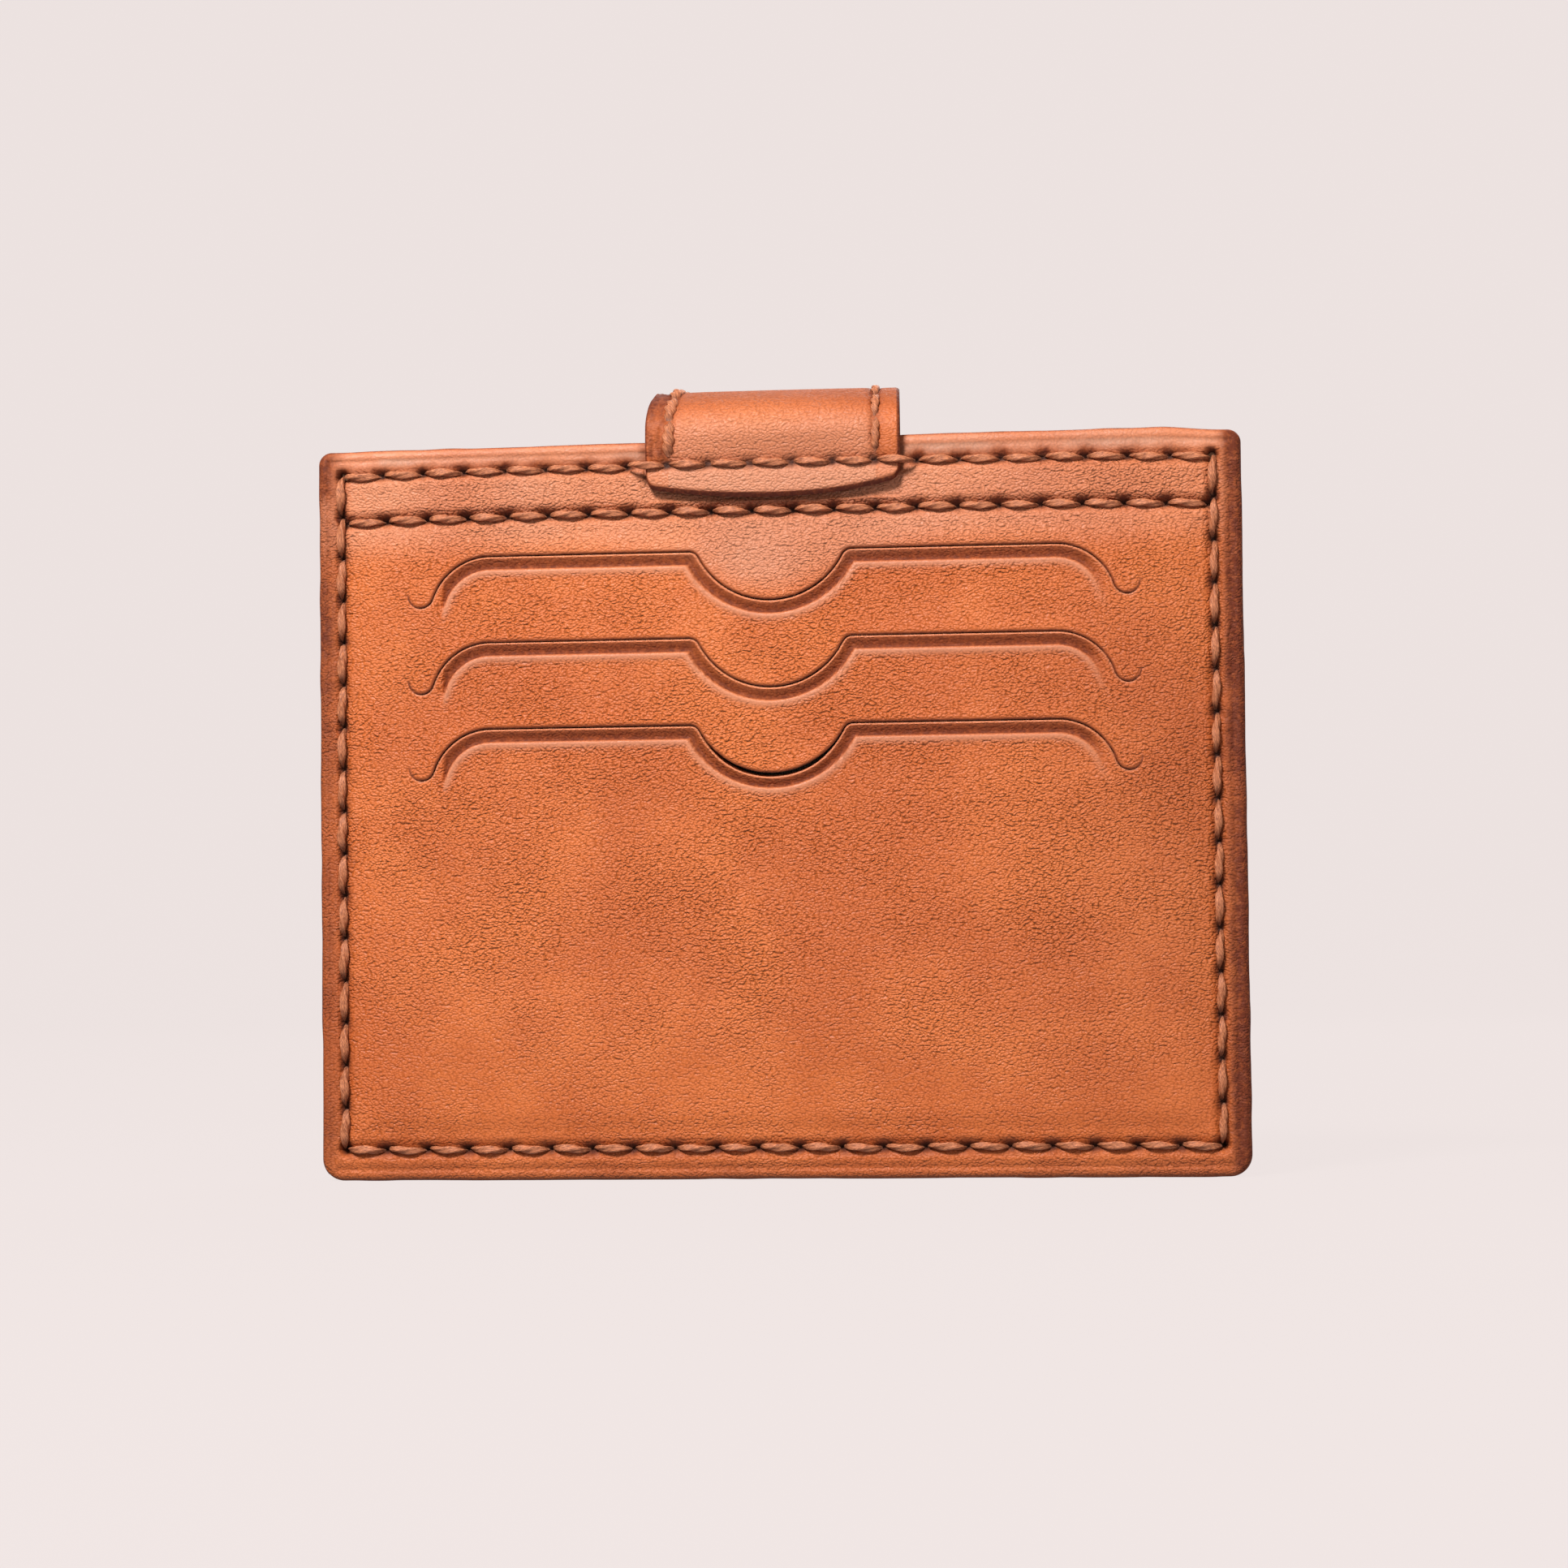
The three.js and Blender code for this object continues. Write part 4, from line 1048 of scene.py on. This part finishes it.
def strap_relief(x, s, to_side, to_end, fields):
    """Padded middle, flat stitched margins and a rounded, painted edge, with painted shade in the
    stitch holes and over the arch, and painted sheen near the foot and on the tongue.
    """
    seam = half_width(s) - STRAP_SEAM_INSET
    off_seam = np.abs(x) - seam
    fullness = ramp(s, -2.4, 1.0) * (1.0 - 0.75 * ramp(s, 2.0, 8.0))
    crown = 0.50 * np.sqrt(np.clip(1.0 - (x / (seam - 0.4)) ** 2, 0, 1)) * fullness
    bevel = np.where(s < 0, 0.62, 0.45)
    rounding = (0.26 * np.clip(1.0 - to_side / 0.45, 0.0, 1.0) ** 2
                + 0.45 * np.clip(1.0 - to_end / bevel, 0.0, 1.0) ** 1.4)

    sewn = ramp(s, -2.7, -2.2) * fading(s, ARCH_LENGTH + 15.0, ARCH_LENGTH + 17.0)
    phase = s / STRAP_STITCH
    to_hole = (phase - np.round(phase)) * STRAP_STITCH
    hole = bell(to_hole, 0.60) * bell(off_seam, 0.4) * sewn
    below_row = s - (TOP_ROW - ARCH_FOOT)
    row = bell(below_row, 0.7)
    along = (x - SEAM_LEFT) / TOP_ROW_PITCH
    row_hole = bell((along - np.round(along)) * TOP_ROW_PITCH, 0.9) * bell(below_row, 0.6)
    pressed = 0.22 * bell(off_seam, 0.55) * sewn + 0.45 * hole + 0.25 * row + 0.5 * row_hole
    left = ramp(-x - seam, 0.0, 0.6) * sewn
    wrinkle = 0.16 * wander(x * 3.2, s * 0.8, 1.3, 41) * left
    drift = 0.04 * wander(x, s, 7.0, 42)

    end_paint = fading(to_end, bevel - 0.14, bevel)
    margin = 0.52 * left * (1.0 + 0.50 * wander(x * 2.4, s * 0.5, 1.0, 43))
    # Darker: the painted side and end edges, the left margin and the seam lines, with painted
    # shade in the stitch holes.
    darkest = np.maximum.reduce(
        [0.90 * fading(to_side, 0.14, 0.42), end_paint, margin,
         0.45 * bell(off_seam, 0.7) * sewn, 0.45 * row, 0.55 * hole, 0.9 * row_hole])
    # Painted shade over the arch, darker where it turns away from the light, and a faint darker
    # band a little below the arch's foot.
    arch_shade_and_band = 0.52 * ramp(s, 1.5, 7.0) + 0.16 * bell(s + 2.2, 1.0)
    fields["dye"] += np.clip(darkest + arch_shade_and_band, 0, 1)
    # Painted shade in the stitch holes.
    fields["pit"] += np.clip(1.5 * np.maximum(hole, row_hole) - 0.25, 0, 1)
    # Painted sheen on the strap's middle near the arch's foot and on the tongue.
    painted_sheen = fading(s, 0.0, 5.0) * (off_seam < 0.0) + ramp(-s, 2.9, 3.6)
    fields["dust"] += np.clip(0.45 * painted_sheen, 0, 0.7)
    fields["calm"] += np.clip(0.25 + 0.5 * end_paint + 0.3 * (off_seam > 0.3), 0, 0.9)
    return crown - rounding - pressed + wrinkle + drift


def lining_relief(x, s, to_side, to_end, fields):
    """Nearly flat, and darker along its free edges."""
    fields["dye"] += 0.6 * fading(np.minimum(to_side, to_end), 0.2, 0.9)
    return 0.03 * wander(x, s, 4.0, 51)


def bend_piece(piece):
    """Bakes a strap piece's placement into its mesh."""
    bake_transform(piece)


def make_strap():
    """The strap's leather and lining, split where its rear bend begins."""
    under = -STRAP_LEATHER - 0.05
    lining_start = float(np.interp(math.radians(15), ARCH_ANGLES, ARCH_LENGTHS))
    for part, first, last, nodes in (("front", "tongue", "split", ("strap_base", "strap_bridge")),
                                     ("rear", "split", "tail", ("strap_tail",))):
        piece = strap_sheet(f"strap_{part}_leather", first, last, 0.0, strap_relief)
        finish_piece(thicken(piece, STRAP_LEATHER), STRAP_TAN, replaces=nodes)
        bend_piece(piece)
    for part, first, last, node in (("front", lining_start, "split", "strap_bridge_lining"),
                                    ("rear", "split", "tail", "strap_tail_lining")):
        piece = strap_sheet(f"strap_{part}_lining", first, last, under, lining_relief, inset=0.6)
        finish_piece(thicken(piece, STRAP_LINING), BROWN, replaces=(node,))
        bend_piece(piece)


def strap_stitch(s0, s1, x0, x1, belly, random):
    """A stitch on the strap between two places (x, s)."""
    t = np.linspace(0.04, 0.96, 13)
    s, x = s0 + (s1 - s0) * t, x0 + (x1 - x0) * t
    y, z, ny, nz = strap_frame(s)
    hump = np.sin(math.pi * t)
    lift = 0.22 * hump ** 0.7 - 0.5 * np.abs(2 * t - 1) ** 5 - 0.13
    lean = random.uniform(0.08, 0.2)
    points = np.stack([x + lean * (t - 0.5), y + ny * lift, z + nz * lift], axis=1)
    ups = np.stack([np.zeros(len(t)), ny, nz], axis=1)
    radii = belly * (0.45 + 0.55 * hump ** 0.55)
    return strand(points, radii, ups, random.uniform(0.8, 1.0), t, random)


def tail_holes():
    """Places (x, s) of the stitch holes round the strap's tail, at an even pitch."""
    radius = TAIL_CORNER - STRAP_SEAM_INSET
    seam = TAIL_HALF - STRAP_SEAM_INSET
    bottom = ARCH_LENGTH + ARCH_FOOT - TAIL_LOW.z - STRAP_SEAM_INSET
    turn = np.linspace(0, math.pi / 2, 24)
    side_s = np.linspace(SPLIT_S + 1.0, bottom - radius, 40)
    side_x = STRAP_SEAM_INSET - half_width(side_s)
    arc_x = radius - seam - radius * np.cos(turn)
    arc_s = bottom - radius + radius * np.sin(turn)
    x = np.concatenate([side_x, arc_x, -arc_x[::-1], -side_x[::-1]])
    s = np.concatenate([side_s, arc_s, arc_s[::-1], side_s[::-1]])
    along = np.concatenate([[0], np.cumsum(np.hypot(np.diff(x), np.diff(s)))])
    even = np.linspace(0, along[-1], round(along[-1] / STRAP_STITCH) + 1)
    return np.interp(even, along, x), np.interp(even, along, s)


def make_strap_threads(random):
    """The strap's edge stitching: two rows at the front, one round the tail."""
    first = TOP_ROW - ARCH_FOOT + 0.9
    for name, side, belly in (("left", -1, 0.66), ("right", 1, 0.44)):
        strands = []
        for i in range(int((SPLIT_S - first) / STRAP_STITCH) + 1):
            s0 = first + STRAP_STITCH * i
            s1 = min(s0 + STRAP_STITCH, SPLIT_S + 0.9)
            x0, x1 = (side * (half_width(s) - STRAP_SEAM_INSET) for s in (s0, s1))
            strands.append(strap_stitch(s0 + 0.1, s1 - 0.1, x0, x1, belly, random))
        piece = join_strands(f"strap_front_thread_{name}", strands)
        nodes = (f"strap_base_thread_{name}", f"strap_bridge_thread_{name}")
        finish_piece(piece, THREAD, replaces=nodes)
        bend_piece(piece)
    x, s = tail_holes()
    strands = [strap_stitch(s[i], s[i + 1], x[i], x[i + 1], 0.45, random)
               for i in range(len(x) - 1)]
    piece = join_strands("strap_rear_thread", strands)
    finish_piece(piece, THREAD, replaces=("strap_tail_thread",))
    bend_piece(piece)


# ---- Linings, gussets and floor --------------------------------------------------------

def cloth_sheet(node, name, seed, body):
    """A woven lining in the place of a CAD sheet, faintly uneven, with the cloth material."""
    low, high = node_box(node)
    x, z = np.meshgrid(np.linspace(low.x, high.x, 60), np.linspace(low.z, high.z, 44))
    piece = grid_piece(name, x, low.y + 0.04 * wander(x, z, 9.0, seed), z, (x, z))
    thicken(piece, (high.y - low.y) * 0.9)
    finish_piece(piece, CLOTH, body, (node,))


def make_linings():
    for i, place in enumerate(("top", "middle", "bottom")):
        cloth_sheet(f"slot_lining_{place}", f"slot_cloth_{place}", 60 + i, "front_half")
    cloth_sheet("front_lining", "front_compartment_cloth", 64, "front_half")
    cloth_sheet("back_lining", "back_compartment_cloth", 65, "back_half")


def make_gusset(side):
    """A side pleat: a soft V of thin leather that points into the compartment."""
    node = "gusset_left" if side < 0 else "gusset_right"
    low, high = node_box(node)
    outer = max(abs(low.x), abs(high.x))
    inner = min(abs(low.x), abs(high.x))
    z, across = np.meshgrid(np.linspace(low.z, high.z, 110), np.linspace(0.0, 1.0, 33),
                            indexing="ij")
    fold = 1.0 - np.abs(2 * across - 1)
    soft = 1.0 - np.sqrt((2 * across - 1) ** 2 + 0.006)
    soft = (soft - soft.min()) / (soft.max() - soft.min())
    x = outer - (outer - inner - 0.5) * (0.15 * fold + 0.85 * soft)
    y = low.y + 0.2 + (high.y - low.y - 0.4) * across
    sway = np.sin(math.pi * across)
    x = x + sway * (0.35 * wander(z, across * 2, 14.0, 71 + side)
                    + 0.08 * wander(z, across * 3, 2.5, 73 + side))
    crease = bell(across - 0.5, 0.06)
    piece = grid_piece(f"{node}_leather", side * x, y, z, (across * 22.0, z),
                       {"dye": 0.5 * crease, "dust": 0.3 * crease}, flip=side < 0)
    finish_piece(thicken(piece, 0.4), BROWN, replaces=(node,))
    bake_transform(piece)


def make_floor_gusset():
    """The compartment's floor: a strip of thin leather with turned-up long edges."""
    low, high = node_box("gusset_bottom")
    across, x = np.meshgrid(np.linspace(0.0, 1.0, 17), spaced(low.x, (high.x, 0.9)),
                            indexing="ij")
    y = low.y + 0.1 + (high.y - low.y - 0.2) * across
    dish = np.abs(2 * across - 1) ** 4
    z = low.z + 0.45 + 0.45 * dish + 0.06 * wander(x, y, 3.0, 81)
    piece = grid_piece("gusset_floor_leather", x, y, z, (x, y), {"dye": 0.4 * dish})
    finish_piece(thicken(piece, 0.42), BROWN, "front_half", ("gusset_bottom",))


# ---- Press stud ------------------------------------------------------------------------

TURNED_SIDES = 64
RIM_ROUNDING = 0.12


def turned_piece(name, node, profile, body, material=BRASS):
    """A turned metal piece about the snap's axis, from (radius, y) pairs; closed profile."""
    radius, y = np.array(profile, float).T
    angles = np.linspace(0, 2 * math.pi, TURNED_SIDES, endpoint=False)
    x = radius[:, None] * np.cos(angles)[None, :]
    z = SNAP_Z + radius[:, None] * np.sin(angles)[None, :]
    depth = np.repeat(y[:, None], TURNED_SIDES, axis=1)
    index = np.arange(x.size).reshape(x.shape)
    index = np.concatenate([index, index[:, :1]], axis=1)
    closed = np.concatenate([index, index[:1]], axis=0)
    piece = make_piece(name, np.stack([x, depth, z], axis=-1), grid_faces(closed))
    mesh = piece.data
    bm = bmesh.new()
    bm.from_mesh(mesh)
    bmesh.ops.remove_doubles(bm, verts=bm.verts, dist=1e-7)
    bmesh.ops.recalc_face_normals(bm, faces=bm.faces)
    bm.to_mesh(mesh)
    bm.free()
    mesh.shade_smooth()
    mesh.set_sharp_from_angle(angle=math.radians(40))
    finish_piece(piece, material, body, (node,))


def rounded_rim(radius, y0, y1):
    """A rim between two depths with softened edges, as (radius, y) pairs."""
    middle, half = (y0 + y1) / 2, (y1 - y0) / 2
    return [(radius - RIM_ROUNDING + RIM_ROUNDING * math.sin(a), middle - half * math.cos(a))
            for a in np.linspace(0, math.pi, 7)]


def make_stud():
    low, high = node_box("snap_stud")
    head_y, tip = low.y + 0.4, high.y
    profile = [(1.8, low.y), *rounded_rim(high.x, low.y, head_y), (2.6, head_y),
               (2.2, head_y + 0.15), (2.12, head_y + 0.45), (2.3, head_y + 0.7),
               (2.4, head_y + 0.95), (2.28, tip - 0.12), (1.9, tip), (0.0, tip),
               (0.0, tip - 0.35), (1.8, tip - 0.35)]
    turned_piece("snap_stud_metal", "snap_stud", profile, "back_half")


def make_socket():
    low, high = node_box("snap_socket")
    r, plate = high.x, high.y - 0.5
    profile = [(3.4, low.y + 0.15), (3.55, low.y), (r - 1.0, low.y), (r - 0.35, low.y + 0.12),
               (r - 0.05, low.y + 0.4), (r, low.y + 0.8), *rounded_rim(r, plate, high.y),
               (1.8, high.y), (1.8, plate), (3.4, plate)]
    turned_piece("snap_socket_metal", "snap_socket", profile, "strap_tail")


def make_spring():
    low, high = node_box("snap_spring")
    middle = (low.y + high.y) / 2
    wire = [(3.07 + 0.13 * math.cos(a), middle + 0.2 * math.sin(a))
            for a in np.linspace(0, 2 * math.pi, 12, endpoint=False)]
    turned_piece("snap_spring_ring", "snap_spring", wire, "strap_tail", STEEL)


def make_cap():
    r, skin = CAP_HIGH.x, TAIL_HIGH.y + 0.05
    rim = [(r - 0.5, skin), (r - 0.08, skin + 0.04), (r, skin + 0.2), (r - 0.05, skin + 0.38),
           (r - 0.3, skin + 0.5), (r - 0.55, skin + 0.5), (r - 0.75, skin + 0.43)]
    dome = [((r - 0.9) * math.cos(a), skin + 0.47 + (CAP_HIGH.y - skin - 0.47) * math.sin(a))
            for a in np.linspace(0.08, math.pi / 2, 10)]
    profile = [(0.0, CAP_LOW.y), (1.3, CAP_LOW.y), (1.5, CAP_LOW.y + 0.2), (1.5, skin), *rim,
               *dome]
    turned_piece("snap_cap_metal", "snap_cap", profile, "strap_tail")


# ---- Camera, light and floor -----------------------------------------------------------

CAMERA_PLACE = (49.16, -441.46, 28.15)
CAMERA_TURN = 6.24              # this and the next two in degrees
CAMERA_TILT = 2.47
CAMERA_ROLL = -0.66


def make_camera():
    """A camera close to square-on: a little to the right of the holder and level with it."""
    data = bpy.data.cameras.new("camera")
    data.lens = 85.0
    data.sensor_width = 36.0
    data.clip_start = 0.01
    camera = link_object("camera", data)
    turn = Matrix.Rotation(math.radians(CAMERA_TURN), 4, "Z")
    tilt = Matrix.Rotation(math.radians(90.0 + CAMERA_TILT), 4, "X")
    roll = Matrix.Rotation(math.radians(CAMERA_ROLL), 4, "Z")
    x, y, z = CAMERA_PLACE
    place = Matrix.Translation(Vector((x, FACE_Y + y, z)) * MM)
    camera.matrix_world = place @ turn @ tilt @ roll
    bpy.context.scene.camera = camera


def make_light(name, place, size, power, colour=(1, 1, 1)):
    """A round lamp that faces the middle of the holder."""
    data = bpy.data.lights.new(name, "AREA")
    data.shape = "DISK"
    data.size = size
    data.energy = power
    data.color = colour
    lamp = link_object(name, data)
    lamp.location = place
    aim = Vector((0.0, 0.0, 0.045)) - Vector(place)
    lamp.rotation_euler = aim.to_track_quat("-Z", "Y").to_euler()


def stage_strip(name, pairs, material):
    """A strip of quads between pairs of points, as a piece of the stage."""
    mesh = bpy.data.meshes.new(name)
    points = [point for pair in pairs for point in pair]
    faces = [(2 * i, 2 * i + 1, 2 * i + 3, 2 * i + 2) for i in range(len(pairs) - 1)]
    mesh.from_pydata(points, [], faces)
    mesh.materials.append(material)
    made = link_object(name, mesh)
    made.visible_diffuse = False
    return made


def make_floor(material):
    """A pale floor that sweeps up into a backdrop of the same tone."""
    radius, back, half = 0.6, 0.9, 4.0
    arc = [(back + radius * math.sin(a), radius * (1 - math.cos(a)))
           for a in np.linspace(0, math.pi / 2, 16)]
    line = [(-3.0, 0.0), *arc, (back + radius, 4.0)]
    floor = stage_strip("floor", [((-half, y, z), (half, y, z)) for y, z in line], material)
    floor.data.shade_smooth()


def make_surround(material):
    """A round wall of the floor's tone that only the camera sees, for low views of the sides."""
    radius, low, high = 2.9, -0.05, 3.9
    ring = [(radius * math.cos(a), radius * math.sin(a)) for a in np.linspace(0, 2 * math.pi, 97)]
    wall = stage_strip("surround", [((x, y, low), (x, y, high)) for x, y in ring], material)
    wall.visible_glossy = wall.visible_shadow = False


def make_world():
    world = bpy.data.worlds.new("studio")
    bpy.context.scene.world = world
    world.use_nodes = True
    background = world.node_tree.nodes["Background"]
    background.inputs["Color"].default_value = (1.0, 0.96, 0.94, 1.0)
    background.inputs["Strength"].default_value = 0.20


def make_studio():
    make_camera()
    pale = Nodes("stage").finish(
        Base_Color=(0.02, 0.018, 0.018, 1.0), Roughness=1.0, Specular_IOR_Level=0.0,
        Emission_Color=(0.847, 0.768, 0.753, 1.0), Emission_Strength=0.985)
    make_floor(pale)
    make_surround(pale)
    make_world()
    make_light("key", (-0.17, -0.45, 0.52), 0.20, 6.85, (1.0, 0.98, 0.96))
    make_light("fill", (0.45, -0.60, 0.20), 0.50, 1.1, (1.0, 0.97, 0.94))
    make_light("rear", (0.2, 0.7, 0.6), 0.5, 4.0)
    bpy.context.scene.view_settings.view_transform = "Standard"


# ---- Build -----------------------------------------------------------------------------

def paint_cad(names, material):
    """Gives CAD nodes that stay visible their finished material."""
    for name in names:
        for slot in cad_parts[name].material_slots:
            slot.material = material


def make_panels(random):
    """The two leather panels and the rows of stitches through them."""
    *perimeter, second_row = front_seams()
    front = panel_piece("front_panel_leather", front_surface(), SLOT_HEIGHTS,
                        [*perimeter, second_row], FRONT_DEPTH, None, 11)
    finish_piece(front, TAN, "front_half", ("front_panel",))
    back = panel_piece("back_panel_leather", back_surface(), [], perimeter,
                       BACK_HIGH.y - BACK_LOW.y, BACK_HIGH.y, 12)
    finish_piece(back, TAN, "back_half", ("back_panel",))

    strands = seam_stitches(perimeter[0], 0.0, -1, random, lift=STRAP_LEATHER)
    for seam in perimeter[1:]:
        strands += seam_stitches(seam, 0.0, -1, random)
    thread = join_strands("front_seam_stitches", strands)
    finish_piece(thread, THREAD, "front_half", ("front_seam_thread",))
    second = join_strands("second_row_stitches", seam_stitches(second_row, 0.0, -1, random))
    finish_piece(second, THREAD, "front_half", ("second_row_thread",))
    strands = [made for seam in perimeter for made in seam_stitches(seam, BACK_HIGH.y, 1, random)]
    thread = join_strands("back_seam_stitches", strands)
    finish_piece(thread, THREAD, "back_half", ("back_seam_thread",))


def main():
    random = np.random.default_rng(7)
    make_studio()
    make_panels(random)
    make_strap()
    make_strap_threads(random)
    make_linings()
    make_gusset(-1)
    make_gusset(1)
    make_floor_gusset()
    make_stud()
    make_socket()
    make_spring()
    make_cap()
    paint_cad(["front_stiffener", "back_stiffener"], STIFFENER)
    paint_cad(["welt_left", "welt_right", "welt_bottom", "welt_top"], WELT)
    paint_cad(["snap_post"], BRASS)


main()
